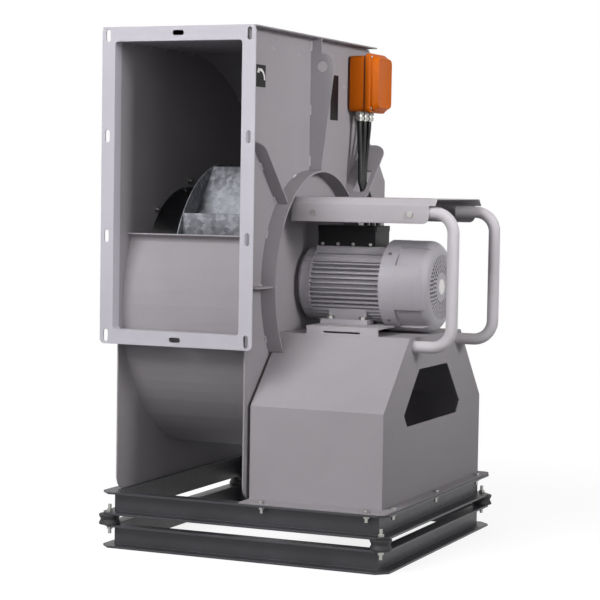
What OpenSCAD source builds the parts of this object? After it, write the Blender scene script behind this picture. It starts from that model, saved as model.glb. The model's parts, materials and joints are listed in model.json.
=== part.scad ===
// Centrifugal fan with an open scroll casing, a direct-drive motor on a
// pedestal, and a double channel frame on rubber mounts. Millimetres, +Z up.
// X runs along the shaft from the inlet to the motor. The outlet faces -Y.

/* [Parts] */
// Sub-part to draw

/* [Frame] */
// Frame beyond the front of the pedestal
front_margin = 72; // [50:1:100]
// Frame beyond the rear of the pedestal
rear_margin = 16; // [8:1:60]
// Height of a channel section
channel_h = 66; // [50:1:90]
// Width of a channel flange, web included
channel_w = 40; // [30:1:60]
// Thickness of the channel web
web_t = 5.5; // [4:0.5:8]
// Thickness of a channel flange
flange_t = 6; // [4:0.5:9]
// Corner cut of the frames
corner_cut = 30; // [10:1:36]
// Height of the rubber mounts
mount_h = 29; // [20:1:60]
// Diameter of the rubber mounts
mount_d = 62; // [40:1:64]
// Distance from the frame edge to a mount centre
mount_inset = 24; // [22:1:30]
// Diameter of the mount studs
stud_d = 10; // [6:1:12]

/* [Casing] */
// Centre of the casing, left of the frame centre
casing_offset = 212; // [150:1:230]
// Clear width of the outlet
outlet_w = 398; // [300:1:420]
// Width of the outlet flange strips
strip_w = 41; // [30:1:50]
// Distance from the scroll to the outlet flange face
outlet_reach = 67.5; // [55:0.5:90]
// Depth of the outlet collar
collar_d = 38; // [25:1:60]
// Thickness of the casing sheet
sheet_t = 4; // [2:0.5:6]
// Shaft height above the upper frame
shaft_rise = 596.5; // [560:0.5:660]
// Scroll radius level with the shaft on the outlet side
scroll_r = 401; // [385:1:430]
// Scroll growth for each degree
scroll_growth = 1.085; // [0.9:0.005:1.2]
// Height of the outlet flange sill above the upper frame
sill_rise = 466; // [430:1:500]
// Side plate beyond the scroll at the rear
rear_lip = 27; // [12:1:60]
// Radius of the front foot corners of the side plates
foot_r = 42; // [20:1:60]
// Length of the top plate
top_plate_len = 903; // [800:1:920]

/* [Stiffeners] */
// Outside radius of the stiffener ring
ring_r = 333.5; // [320:0.5:345]
// Standoff of the ring from the side plate
ring_w = 46; // [30:1:60]
// Thickness of the ring and the ribs
rib_t = 5; // [3:0.5:8]
// Standoff of the ribs
rib_w = 38; // [25:1:45]
// Radius of the lifting eye lobe
lobe_r = 38; // [28:1:45]
// Diameter of the lifting hole
eye_d = 32; // [20:1:40]

/* [Impeller] */
// Impeller radius over the shroud
impeller_r = 353; // [330:1:360]
// Radius of the shroud inlet
eye_r = 238; // [200:1:250]
// Number of blades
blade_count = 9; // [6:1:14]
// Blade thickness
blade_t = 4; // [2:0.5:6]
// Blade width at the rim
blade_w = 215; // [150:1:225]
// Gap from the backplate to the casing
back_gap = 52; // [40:1:70]
// Radius of the inlet cone at the inlet plate
cone_r = 278; // [260:1:290]
// Radial gap of the inlet cone inside the shroud
cone_gap = 4; // [3:0.5:8]

/* [Motor] */
// Shaft height above the motor feet
motor_h = 112; // [100:1:124]
// Radius of the motor frame over the fins
fin_r = 113; // [90:1:125]
// Fin height
fin_h = 16; // [6:1:22]
// Number of fins all round
fin_count = 48; // [24:4:60]
// Fan cowl radius
cowl_r = 134; // [124:1:150]
// Length of the drive end shield
shield_len = 40; // [25:1:50]
// Length of the finned frame
body_len = 228; // [180:1:260]
// Length of the fan cowl
cowl_len = 146; // [130:1:200]
// Shaft diameter
shaft_d = 28; // [20:1:38]
// Foot hole spacing across the motor
foot_span = 190; // [170:1:216]

/* [Pedestal] */
// Length of the pedestal along the shaft
pedestal_len = 400; // [360:1:420]
// Depth of the pedestal at its foot
pedestal_d = 823; // [760:1:830]
// Depth of the pedestal at its top
pedestal_top_d = 435; // [360:1:500]
// Clearance between the fan cowl and the pedestal
cowl_clear = 2; // [1:0.5:20]
// Height of the pedestal's upright part
upright_h = 266; // [200:1:300]
// Drop of the pedestal's rear fold below its front one
rear_fold_drop = 20; // [0:1:40]
// Foot flange width at the pedestal end
foot_w = 37; // [30:1:44]

/* [Guard] */
// Diameter of the bumper tubes
tube_d = 34; // [25:1:42]
// Distance between the bumper tubes
tube_span = 369; // [340:1:400]
// Distance from the fan cowl to the bumper tubes
tube_gap = 98; // [60:1:120]
// Height of the bumper tubes, axis to axis
tube_h = 378; // [340:1:400]
// Bend radius of the bumper tubes
bend_r = 58; // [45:1:75]
// Height of the guard tray
tray_h = 51; // [40:1:70]
// Sheet thickness of the guard tray and the pedestal
guard_t = 3; // [2:0.5:5]

/* [Electrics] */
// Width of the switch box
box_w = 137; // [110:1:160]
// Height of the switch box
box_h = 176; // [140:1:200]
// Depth of the switch box body
box_d = 48; // [40:1:60]
// Depth of the switch box lid
lid_d = 44; // [30:1:50]
// Cable diameter
cable_d = 15; // [10:1:18]

/* [Hidden] */
$fn = 96;
eps = 0.01;
touch = 0.5;
gap_t = 1;
frame_h = 2 * channel_h + mount_h;
shaft_y = front_margin + pedestal_d / 2;
shaft_z = frame_h + shaft_rise;
plate_rear = scroll_at(180) + rear_lip;
plinth_h = cowl_r + cowl_clear - motor_h;
pedestal_h = shaft_rise - motor_h - plinth_h;
flange_y = shaft_y - scroll_r - outlet_reach;
casing_x = -casing_offset;
in_left = casing_x - outlet_w / 2;
in_right = casing_x + outlet_w / 2;
plate_x = in_right + sheet_t;
sill_z = frame_h + sill_rise;
end_angle = 265;
start_angle = -18.3;
scroll_top = shaft_z + scroll_at(end_angle) * sin(end_angle - 180);
flange_lo = sill_z - strip_w;
flange_hi = scroll_top + strip_w;
front_y = flange_y + collar_d;
top_t = sheet_t;
rear_y = shaft_y + plate_rear;
pedestal_gap = 10;
pedestal_x = plate_x + pedestal_gap;
pedestal_end = pedestal_x + pedestal_len;
pedestal_y0 = shaft_y - pedestal_d / 2;
pedestal_y1 = shaft_y + pedestal_d / 2;
pedestal_top = frame_h + pedestal_h;
foot_edge = 4;
base_w = 2 * (pedestal_end + foot_w + foot_edge);
base_d = front_margin + pedestal_d + rear_margin;

motor_gap = 9;
motor_x = plate_x + motor_gap;
body_x = motor_x + shield_len;
cowl_x = body_x + body_len;
cowl_end = cowl_x + cowl_len;
tube_x = cowl_end + tube_gap;
tube_drop = 25;
tube_lo = pedestal_top - tube_drop;
tube_hi = tube_lo + tube_h;
tray_top = tube_hi + tube_d / 2 + guard_t;
tray_lap = 12;
tray_x0 = plate_x + ring_w - tray_lap;
tray_back = 10;
tray_x1 = tube_x - bend_r - tray_back;
tray_d = tube_span + tube_d + 2 * guard_t;
left_x = min(in_left - strip_w, -base_w / 2 - mount_d / 2 + mount_inset);
right_x = max(tube_x + tube_d / 2, base_w / 2);
front_edge = min(mount_inset - mount_d / 2, 0, flange_y);
shift_x = -(left_x + right_x) / 2;
shift_y = -(front_edge + rear_y) / 2;
foot_z = shaft_z - motor_h;
foot_setback = 44;
foot_x0 = body_x + foot_setback;
foot_back = 38;
foot_len = body_len - foot_setback - foot_back;
foot_t = 14;
back_x = in_right - back_gap;
shroud_x = back_x - blade_w;
shroud_depth = 34;
throat_x = shroud_x - shroud_depth;
shroud_t = 3;
hub_len = 70;
hub_r = 62;
hub_neck_r = 38;
hub_disc_t = 14;
hub_bolt_r = 6;
hub_inset = 10;
bearing_w = 16;
bearing_r = 31;
shaft_gap = 0.05;
rotor_r = 52;
rotor_gap = 0.5;
tail_d = 24;

function scroll_at(a) = scroll_r + scroll_growth * a;
function scroll_pt(a, grow) = [
  shaft_y - (scroll_at(a) + grow) * cos(a),
  shaft_z - (scroll_at(a) + grow) * sin(a)];

// Whole model is centred over the floor origin
module placed() {
  translate([shift_x, shift_y, 0]) children();
}

// Profile drawn in Y and Z, pushed out along X
module along_x(x0, len) {
  translate([x0, 0, 0]) rotate([90, 0, 90]) linear_extrude(height = len) children();
}

// Disc on the shaft line
module disc(x0, len, r) {
  along_x(x0, len) translate([shaft_y, shaft_z]) circle(r = r);
}

// Ring on the shaft line
module ring(x0, len, r_out, r_in) {
  along_x(x0, len) translate([shaft_y, shaft_z]) difference() {
    circle(r = r_out);
    circle(r = r_in);
  }
}

// Solid of revolution on the shaft line, drawn as radius and distance
module turned(x0) {
  translate([x0, shaft_y, shaft_z]) rotate([0, 90, 0]) rotate_extrude() children();
}

// Rounded rectangle from its corner
module rounded(w, h, r) {
  x1 = w - r;
  y1 = h - r;
  translate([r, 0]) square([w - 2 * r, h]);
  translate([0, r]) square([w, h - 2 * r]);
  for (x = [r, x1]) for (y = [r, y1]) translate([x, y]) circle(r = r, $fn = 48);
}

// Frames of channel section with the flanges turned outwards

module channel_profile(z0) {
  translate([channel_w - web_t, z0]) square([web_t, channel_h]);
  translate([0, z0]) square([channel_w, flange_t]);
  translate([0, z0 + channel_h - flange_t]) square([channel_w, flange_t]);
}

module channel_plan(len) {
  inner = len / 2 - channel_w;
  polygon([[-len / 2 + corner_cut, 0], [len / 2 - corner_cut, 0],
    [len / 2 - corner_cut / 2, corner_cut / 2], [inner, channel_w],
    [-inner, channel_w], [-len / 2 + corner_cut / 2, corner_cut / 2]]);
}

// The studs pass only the flange that bears on the rubber
function stud_z0(z0) = z0 > 0 ? z0 - flange_t / 2 : channel_h - 3 * flange_t / 2;

module channel(len, z0) {
  difference() {
    intersection() {
      along_x(-len / 2, len) channel_profile(z0);
      translate([0, 0, z0]) linear_extrude(height = channel_h) channel_plan(len);
    }
    for (s = [-1, 1])
      translate([s * (len / 2 - mount_inset), mount_inset, stud_z0(z0)])
        cylinder(r = stud_d / 2 + touch, h = 2 * flange_t, $fn = 24);
  }
}

module frame_front(z0) { channel(base_w, z0); }
module frame_rear(z0) { translate([0, base_d, 0]) rotate([0, 0, 180]) channel(base_w, z0); }
module frame_left(z0) {
  translate([-base_w / 2, base_d / 2, 0]) rotate([0, 0, -90]) channel(base_d, z0);
}
module frame_right(z0) {
  translate([base_w / 2, base_d / 2, 0]) rotate([0, 0, 90]) channel(base_d, z0);
}

module frame_colour() { color([0.16, 0.16, 0.18]) placed() children(); }
module lower_frame_front() { frame_colour() frame_front(0); }
module lower_frame_rear() { frame_colour() frame_rear(0); }
module lower_frame_left() { frame_colour() frame_left(0); }
module lower_frame_right() { frame_colour() frame_right(0); }
upper_z = channel_h + mount_h;
module bolted_down() {
  difference() {
    children();
    translate([0, 0, frame_h - 2 * flange_t]) linear_extrude(height = 4 * flange_t)
      foot_bolt_plan(bolt_r, 24);
  }
}
module upper_frame_front() { frame_colour() bolted_down() frame_front(upper_z); }
module upper_frame_rear() { frame_colour() frame_rear(upper_z); }
module upper_frame_left() { frame_colour() frame_left(upper_z); }
module upper_frame_right() { frame_colour() bolted_down() frame_right(upper_z); }

nut_share = 0.95;
nut_h_share = 0.8;
stud_tail = 22;

// Mount positions at the four corners
module at_mounts() {
  for (x = [-base_w / 2 + mount_inset, base_w / 2 - mount_inset])
    for (y = [mount_inset, base_d - mount_inset]) translate([x, y, channel_h]) children();
}

module rubber_mounts() {
  lip = 4;
  waist = mount_d * 0.42;
  rim = mount_d / 2;
  edge = 1;
  color([0.05, 0.05, 0.06]) placed() at_mounts() difference() {
    rotate_extrude($fn = 48) polygon([[0, 0], [rim - edge, 0], [rim, edge], [rim, lip],
      [waist, mount_h / 2], [rim, mount_h - lip], [rim, mount_h - edge],
      [rim - edge, mount_h], [0, mount_h]]);
    translate([0, 0, -eps]) cylinder(r = stud_d / 2, h = mount_h + 2 * eps, $fn = 24);
  }
}

module mount_studs() {
  nut_r = stud_d * nut_share;
  nut_h = stud_d * nut_h_share;
  color([0.72, 0.72, 0.7]) placed() at_mounts() {
    translate([0, 0, -flange_t - stud_tail])
      cylinder(r = stud_d / 2 - eps, h = mount_h + 2 * flange_t + 2 * stud_tail, $fn = 24);
    translate([0, 0, mount_h + flange_t]) cylinder(r = nut_r, h = nut_h, $fn = 6);
    translate([0, 0, -flange_t - nut_h]) cylinder(r = nut_r, h = nut_h, $fn = 6);
  }
}

// Scroll casing

chamfer_y = 25;
chamfer_z = 16;
rear_r = scroll_at(180);
rear_up_shares = [0.715, 0.64, 0.512, -0.134];
rear_in_shares = [0.233, 0.121];
slope_z0 = shaft_z + rear_r * rear_up_shares[0];
slope_y0 = rear_y - rear_r * rear_in_shares[0];
mid_z = shaft_z + rear_r * rear_up_shares[1];
mid_y = rear_y - rear_r * rear_in_shares[1];
slope_z1 = shaft_z + rear_r * rear_up_shares[2];
lower_z1 = shaft_z + rear_r * rear_up_shares[3];
lower_rise = 170;
lower_z0 = frame_h + lower_rise;
foot_rear_gap = 8;
foot_rear = base_d - foot_rear_gap;

module plate_outline() {
  polygon([[front_y + foot_r, frame_h], [foot_rear, frame_h], [foot_rear, lower_z0],
    [rear_y, lower_z1], [rear_y, slope_z1], [mid_y, mid_z], [slope_y0, slope_z0],
    [slope_y0, flange_hi - top_t - chamfer_z],
    [slope_y0 - chamfer_y, flange_hi - top_t], [front_y, flange_hi - top_t],
    [front_y, frame_h + foot_r]]);
  translate([front_y + foot_r, frame_h + foot_r]) circle(r = foot_r);
}

bolt_r = 5;
head_share = 1.8;
head_h_share = 1.3;
ring_bolt_inset = 19.5;
ring_hole_inset = 38;
inlet_ring_w = 56;
ring_bolt_r = cone_r + ring_bolt_inset;
ring_hole_r = cone_r + ring_hole_inset;
module inlet_side_plate() {
  color([0.63, 0.61, 0.62]) placed() difference() {
    along_x(in_left - sheet_t, sheet_t) plate_outline();
    disc(in_left - sheet_t - touch, sheet_t + 2 * touch, cone_r);
    at_cone_bolts(in_left - sheet_t - touch, sheet_t + 2 * touch, ring_bolt_r, 0, bolt_r);
  }
}

seal_hole_r = 66;
module motor_side_plate() {
  color([0.63, 0.61, 0.62]) placed() difference() {
    along_x(in_right, sheet_t) plate_outline();
    disc(in_right - touch, sheet_t + 2 * touch, seal_hole_r);
  }
}

// Spiral wrapper, straight along the top to the outlet collar
wrap_steps = 64;
wrap_in = [for (i = [0 : wrap_steps])
  scroll_pt(start_angle + (end_angle - start_angle) * i / wrap_steps, 0)];
wrap_out = [for (i = [wrap_steps : -1 : 0])
  scroll_pt(start_angle + (end_angle - start_angle) * i / wrap_steps, sheet_t)];
module scroll_wrapper() {
  color([0.6, 0.58, 0.59]) placed() along_x(in_left, outlet_w)
    polygon(concat(wrap_in, [[front_y, scroll_top], [front_y, scroll_top + sheet_t]], wrap_out));
}

// Folded lip at the cutoff and the sill that closes the outlet below
lip_r = 12;
lip_flat = 14;
sill_angle = 17.6;
sill_y = scroll_pt(sill_angle, sheet_t)[0] - touch;
module cutoff_lip() {
  p = scroll_pt(start_angle, sheet_t);
  color([0.62, 0.6, 0.61]) placed() {
    along_x(in_left, outlet_w)
      translate([p[0] - lip_r * cos(start_angle), p[1] - lip_r * sin(start_angle)])
        rotate([0, 0, start_angle]) {
      intersection() {
        difference() {
          circle(r = lip_r + sheet_t, $fn = 48);
          circle(r = lip_r, $fn = 48);
        }
        square(lip_r + 2 * sheet_t);
      }
      translate([-lip_flat, lip_r]) square([lip_flat + eps, sheet_t]);
    }
    along_x(in_left, outlet_w) translate([front_y, sill_z - sheet_t])
      square([sill_y - front_y, sheet_t]);
  }
}

module top_plate() {
  color([0.6, 0.58, 0.59]) placed()
    translate([in_left - strip_w, flange_y + sheet_t, flange_hi - top_t])
      cube([outlet_w + 2 * strip_w, top_plate_len, top_t]);
}

// Outlet flange with slotted holes and a collar behind it
slot_w = 14;
slot_len = 36;
slot_in_share = 0.46;
slot_in = strip_w * slot_in_share;
slot_shares = [0, 1 / 3, 2 / 3, 1];
flange_h = flange_hi - flange_lo;
slot_end = 24;
corner_r = 14;
inner_r = 10;
module slot(x, z, tall) {
  l = slot_len - slot_w;
  dx = tall ? 0 : l / 2;
  dz = tall ? l / 2 : 0;
  translate([x, z]) {
    for (s = [-1, 1]) translate([s * dx, s * dz]) circle(r = slot_w / 2, $fn = 24);
    square([slot_w + (tall ? 0 : l - slot_w), slot_w + (tall ? l - slot_w : 0)], center = true);
  }
}

module outlet_flange() {
  w = outlet_w + 2 * strip_w;
  x0 = in_left - strip_w;
  color([0.72, 0.71, 0.74]) placed() {
    translate([0, flange_y + sheet_t, 0]) rotate([90, 0, 0])
      linear_extrude(height = sheet_t) difference() {
        translate([x0, flange_lo]) rounded(w, flange_h, corner_r);
        translate([in_left, sill_z]) rounded(outlet_w, scroll_top - sill_z, inner_r);
        for (share = slot_shares) for (x = [x0 + slot_in, x0 + w - slot_in])
          slot(x, flange_lo + slot_end + share * (flange_h - 2 * slot_end), true);
        slot(casing_x, flange_hi - slot_in, false);
        slot(casing_x, flange_lo + slot_in, false);
      }
    translate([0, front_y, 0]) rotate([90, 0, 0])
      linear_extrude(height = collar_d - sheet_t) difference() {
        translate([in_left - sheet_t, sill_z - sheet_t])
          square([outlet_w + 2 * sheet_t, scroll_top - sill_z + 2 * sheet_t]);
        translate([in_left, sill_z]) rounded(outlet_w, scroll_top - sill_z, inner_r);
      }
  }
}

// Inlet ring and cone
bolt_count = 8;
module at_cone_bolts(x0, len, r, turn, hole) {
  for (i = [0 : bolt_count - 1]) {
    a = (i + turn) * 360 / bolt_count;
    along_x(x0, len) translate([shaft_y + r * cos(a), shaft_z + r * sin(a)])
      circle(r = hole, $fn = 24);
  }
}

inlet_ring_r = cone_r + inlet_ring_w;
inlet_ring_t = 6;
inlet_x = in_left - sheet_t - inlet_ring_t;
module inlet_ring() {
  color([0.6, 0.58, 0.59]) placed() difference() {
    ring(inlet_x, inlet_ring_t, inlet_ring_r, cone_r);
    at_cone_bolts(inlet_x - touch, inlet_ring_t + 2 * touch, ring_bolt_r, 0, bolt_r);
    at_cone_bolts(inlet_x - touch, inlet_ring_t + 2 * touch, ring_hole_r, 0.5, bolt_r);
  }
}

cone_t = 3;
cone_end_r = eye_r - cone_gap - cone_t;
cone_lap = 14;
cone_end = throat_x + cone_lap;
cone_steps = 12;
cone_len = cone_end - in_left;
function cone_fall(s) = cone_end_r + (cone_r - cone_t - cone_end_r) * (1 - sin(90 * s));
cone_line = [for (i = [0 : cone_steps]) [cone_fall(i / cone_steps), cone_len * i / cone_steps]];
cone_back = [for (i = [cone_steps : -1 : 0])
  [cone_fall(i / cone_steps) + cone_t, cone_len * i / cone_steps]];
module inlet_cone() {
  mouth_r = cone_r - cone_t;
  color([0.05, 0.05, 0.06]) placed() difference() {
    turned(in_left) polygon(concat(cone_line, cone_back,
      [[cone_r, -sheet_t - inlet_ring_t], [mouth_r, -sheet_t - inlet_ring_t]]));
    disc(cone_end, touch, impeller_r);
  }
}

// Bolts that hold the inlet ring, with nuts inside the casing
module cone_bolts() {
  head_r = bolt_r * head_share;
  head_h = bolt_r * head_h_share;
  tip = in_left + 2 * head_h;
  color([0.8, 0.8, 0.79]) placed() {
    at_cone_bolts(inlet_x - touch, tip - inlet_x + touch, ring_bolt_r, 0, bolt_r - eps);
    for (i = [0 : bolt_count - 1]) {
      a = i * 360 / bolt_count;
      along_x(inlet_x - head_h, head_h)
        translate([shaft_y + ring_bolt_r * cos(a), shaft_z + ring_bolt_r * sin(a)])
          circle(r = head_r, $fn = 6);
      along_x(in_left, head_h)
        translate([shaft_y + ring_bolt_r * cos(a), shaft_z + ring_bolt_r * sin(a)])
          circle(r = head_r, $fn = 6);
    }
  }
}

seal_lap = 22;
seal_out = seal_hole_r + seal_lap;
seal_t = 3;
seal_gap = 6;
module shaft_seal() {
  color([0.5, 0.49, 0.5]) placed() ring(plate_x, seal_t, seal_out, shaft_d / 2 + seal_gap);
}

// Stiffener ring and ribs on the motor side

module pedestal_outline(grow) {
  d0 = pedestal_d / 2 + grow;
  d1 = pedestal_top_d / 2 + grow;
  polygon([[shaft_y - d0, frame_h], [shaft_y + d0, frame_h],
    [shaft_y + d0, frame_h + upright_h - rear_fold_drop + grow], [shaft_y + d1, pedestal_top + grow],
    [shaft_y - d1, pedestal_top + grow], [shaft_y - d0, frame_h + upright_h + grow]]);
}

clear_gap = 2;
module stiffener_ring() {
  color([0.5, 0.49, 0.5]) placed() difference() {
    ring(plate_x, ring_w, ring_r, ring_r - rib_t);
    along_x(plate_x - touch, ring_w + 2 * touch) pedestal_outline(clear_gap);
  }
}

// Rib drawn as distance from the shaft against standoff, turned by an angle
module rib(angle) {
  translate([plate_x, shaft_y, shaft_z]) rotate([angle, 0, 0])
    translate([0, rib_t / 2, 0]) rotate([90, 0, 0]) linear_extrude(height = rib_t) children();
}

rib_top = flange_hi - top_t - shaft_z;
lobe_drop = 82;
rib_neck_w = 34;
lobe_z = rib_top - lobe_drop;
module lifting_rib() {
  color([0.6, 0.58, 0.59]) placed() rib(0) difference() {
    union() {
      translate([0, ring_r]) square([rib_neck_w, rib_top - ring_r]);
      polygon([[0, ring_r], [rib_w, ring_r], [rib_w + lobe_r, lobe_z], [0, lobe_z]]);
      translate([rib_w, lobe_z]) circle(r = lobe_r);
    }
    translate([rib_w, lobe_z]) circle(r = eye_d / 2, $fn = 48);
  }
}

front_reach = shaft_y - front_y;
rib_end_gap = 20;
diagonal_gap = 34;
rear_reach = plate_rear - rib_end_gap;
diagonal_reach = front_reach * sqrt(2) - diagonal_gap;
rib_end_r = 28;
module rib_blade(reach) {
  translate([0, ring_r]) square([rib_w, reach - rib_end_r - ring_r]);
  translate([0, reach - 2 * rib_end_r]) square([rib_w - rib_end_r, 2 * rib_end_r]);
  translate([rib_w - rib_end_r, reach - rib_end_r]) intersection() {
    circle(r = rib_end_r);
    translate([0, -rib_end_r]) square([rib_end_r, 2 * rib_end_r]);
  }
}

module casing_ribs() {
  color([0.6, 0.58, 0.59]) placed() {
    rib(90) rib_blade(front_reach);
    rib(-90) rib_blade(rear_reach);
    rib(45) rib_blade(diagonal_reach);
  }
}

cable_pass = 428;
cable_rib_end = 590;
cable_rib_w = 84;
pass_w = 92;
pass_h = 40;
pass_x = 29;
pass_r_share = 0.25;
module cable_rib() {
  end_r = cable_rib_w / 2;
  color([0.6, 0.58, 0.59]) placed() rib(-45) difference() {
    union() {
      translate([0, ring_r]) square([ring_w, cable_rib_end - end_r - ring_r]);
      translate([0, ring_r + ring_w]) square([cable_rib_w, cable_rib_end - end_r - ring_r - ring_w]);
      translate([ring_w, ring_r + ring_w]) circle(r = cable_rib_w - ring_w);
      translate([end_r, cable_rib_end - end_r]) circle(r = end_r);
      translate([0, cable_rib_end - end_r]) square(end_r);
    }
    translate([pass_x, cable_pass - pass_w / 2]) rounded(pass_h, pass_w, pass_h * pass_r_share);
  }
}

// Motor pedestal: folded shell, end wall with a hexagonal opening, foot

module pedestal_shell() {
  color([0.58, 0.57, 0.59]) placed()
    along_x(pedestal_x, pedestal_len - guard_t) difference() {
      pedestal_outline(0);
      pedestal_inner();
    }
}

module pedestal_inner() {
  t = guard_t;
  d0 = pedestal_d / 2 - t;
  d1 = pedestal_top_d / 2 - t / 2;
  ridge = frame_h + upright_h - t / 2;
  polygon([[shaft_y - d0, frame_h - t], [shaft_y + d0, frame_h - t],
    [shaft_y + d0, ridge - rear_fold_drop], [shaft_y + d1, pedestal_top - t],
    [shaft_y - d1, pedestal_top - t], [shaft_y - d0, ridge]]);
}

hex_lo_drop = 54;
hex_mid_drop = 20;
hex_rise = 102;
hex_shift = 17;
hex_lo = frame_h + upright_h - hex_lo_drop;
hex_mid = frame_h + upright_h - hex_mid_drop;
hex_hi = frame_h + upright_h + hex_rise;
hex_bot_half = 210;
hex_mid_half = 236;
hex_top_half = 119;
module hex_opening() {
  y = shaft_y - hex_shift;
  polygon([[y - hex_bot_half, hex_lo], [y + hex_bot_half, hex_lo],
    [y + hex_mid_half, hex_mid], [y + hex_top_half, hex_hi],
    [y - hex_top_half, hex_hi], [y - hex_mid_half, hex_mid]]);
}

module pedestal_end() {
  color([0.52, 0.51, 0.53]) placed() along_x(pedestal_end - guard_t, guard_t) difference() {
    pedestal_outline(0);
    hex_opening();
  }
}

// Foot flanges folded outwards along the front, the end and the rear
fold_r = 20;
foot_sheet = 4;
foot_x1 = base_w / 2 - foot_edge;
foot_y1 = base_d - foot_edge;
module pedestal_foot() {
  color([0.6, 0.59, 0.61]) placed() translate([0, 0, frame_h])
    linear_extrude(height = foot_sheet) difference() {
      translate([pedestal_x - fold_r, foot_edge])
        rounded(foot_x1 - pedestal_x + fold_r, foot_y1 - foot_edge, fold_r);
      translate([pedestal_x - 2 * fold_r, 0]) square([2 * fold_r, base_d]);
      translate([pedestal_x - touch, pedestal_y0])
        square([pedestal_len + touch, pedestal_d]);
      foot_bolt_plan(bolt_r, 24);
    }
}

bolt_line_share = 0.44;
bolt_line = channel_w * bolt_line_share;
end_shares = [0.03, 0.45, 0.9];
front_shares = [0.16, 0.94];
module foot_bolt_plan(r, sides) {
  for (share = front_shares)
    translate([pedestal_x + share * pedestal_len, bolt_line]) circle(r = r, $fn = sides);
  for (share = end_shares)
    translate([base_w / 2 - bolt_line, pedestal_y0 + share * pedestal_d])
      circle(r = r, $fn = sides);
}

module foot_bolts() {
  head_r = bolt_r * head_share;
  head_h = bolt_r * head_h_share;
  drop = 28;
  color([0.5, 0.5, 0.5]) placed() {
    translate([0, 0, frame_h + foot_sheet - drop]) linear_extrude(height = drop + head_h)
      foot_bolt_plan(bolt_r - eps, 24);
    translate([0, 0, frame_h + foot_sheet]) linear_extrude(height = head_h)
      foot_bolt_plan(head_r, 6);
    translate([0, 0, frame_h - flange_t - head_h]) linear_extrude(height = head_h)
      foot_bolt_plan(head_r, 6);
  }
}

// Plinth: an upturned tray under the motor feet, with a slot along its face

plinth_lead = 44;
plinth_x0 = body_x + plinth_lead;
plinth_over = 74;
plinth_len = foot_len + plinth_over;
plinth_t = 5;
plinth_slot = 112;
slot_rise = 5;
plinth_slot_share = 0.24;
relief_gap = 4;
relief_half = sqrt(cowl_r * cowl_r - pow(motor_h, 2)) + 3 * relief_gap;
module plinth_profile() {
  translate([shaft_y - pedestal_top_d / 2 + touch, pedestal_top]) difference() {
    square([pedestal_top_d - 2 * touch, plinth_h]);
    translate([plinth_t, -eps]) square([pedestal_top_d - 2 * touch - 2 * plinth_t,
      plinth_h - plinth_t + eps]);
  }
}

module motor_plinth() {
  color([0.66, 0.65, 0.67]) placed() difference() {
    along_x(plinth_x0, plinth_len) plinth_profile();
    translate([plinth_x0 + plinth_len * plinth_slot_share, 0, pedestal_top + slot_rise])
      cube([plinth_slot, base_d, slot_rise]);
    at_motor_bolts(pedestal_top, plinth_h * 2, motor_bolt_r);
    translate([cowl_x - relief_gap, shaft_y - relief_half, pedestal_top - touch])
      cube([plinth_len, 2 * relief_half, plinth_h + 2 * touch]);
  }
}

// Motor: finned frame, end shields, feet, cowl with a grille

motor_bolt_r = 6;
motor_bolt_in = 22;
foot_half = foot_span / 2;
module at_motor_bolts(z0, h, r) {
  for (x = [foot_x0 + motor_bolt_in, foot_x0 + foot_len - motor_bolt_in]) for (s = [-1, 1])
    translate([x, shaft_y + s * foot_half, z0]) cylinder(r = r, h = h, $fn = 24);
}

core_r = fin_r - fin_h;
foot_out = foot_half + motor_bolt_in;
foot_in = 62;
foot_wall_h = 62;
foot_slope = 6;
foot_sink = 8;
foot_web = foot_half - motor_bolt_r * head_share - 2 * gap_t;
wall_x = core_r - foot_sink;
module motor_feet() {
  color([0.47, 0.46, 0.48]) placed() difference() {
    for (s = [-1, 1]) {
      y0 = s > 0 ? shaft_y + foot_in : shaft_y - foot_out;
      translate([foot_x0, y0, foot_z]) cube([foot_len, foot_out - foot_in, foot_t]);
      translate([foot_x0 + foot_t, 0, 0]) along_x(0, foot_len - 2 * foot_t)
        polygon([[shaft_y + s * foot_in, foot_z + foot_t - eps],
          [shaft_y + s * foot_web, foot_z + foot_t - eps],
          [shaft_y + s * (wall_x + foot_slope), foot_z + foot_wall_h],
          [shaft_y + s * foot_in, foot_z + foot_wall_h]]);
    }
    disc(foot_x0 - touch, foot_len + 2 * touch, fin_r + touch / 2);
    at_motor_bolts(foot_z - touch, foot_t * 4, motor_bolt_r);
  }
}

fin_t = 4;
module fin_section() {
  circle(r = core_r);
  for (i = [0 : fin_count - 1])
    rotate([0, 0, (i + 0.5) * 360 / fin_count])
      translate([core_r - fin_t, -fin_t / 2]) square([fin_h + fin_t, fin_t]);
}

frame_wall = 9;
stator_r = core_r - frame_wall;
lug_w = 26;
lug_sink = 2;
lug_angles = [45, 135, 225, 315];
pad_x = 1;
pad_back = 6;
pad_len = body_len - pad_x - pad_back;
pad_w = 104;
pad_rise = 16;
module stator_housing() {
  band = 5;
  color([0.47, 0.46, 0.48]) placed() difference() {
    union() {
      along_x(body_x, body_len) translate([shaft_y, shaft_z]) fin_section();
      ring(body_x, band, fin_r - touch, stator_r + touch);
      ring(cowl_x - band, band, fin_r - touch, stator_r + touch);
      for (a = lug_angles) rotate_about(a)
        translate([body_x, -lug_w / 2, core_r - lug_sink]) cube([body_len, lug_w, fin_h]);
      translate([body_x + pad_x, shaft_y - pad_w / 2, shaft_z])
        cube([pad_len, pad_w, core_r + pad_rise]);
    }
    disc(body_x - touch, body_len + 2 * touch, stator_r);
    below_feet(body_x - touch, body_len + 2 * touch);
  }
}

// The motor is flat underneath, just clear of what its feet stand on
module below_feet(x0, len) {
  translate([x0, shaft_y - fin_r - touch, foot_z + gap_t - fin_r])
    cube([len, 2 * fin_r + 2 * touch, fin_r]);
}

// Turns a child about the shaft line, drawn with the shaft at the origin
module rotate_about(a) {
  translate([0, shaft_y, shaft_z]) rotate([a, 0, 0]) children();
}

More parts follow.
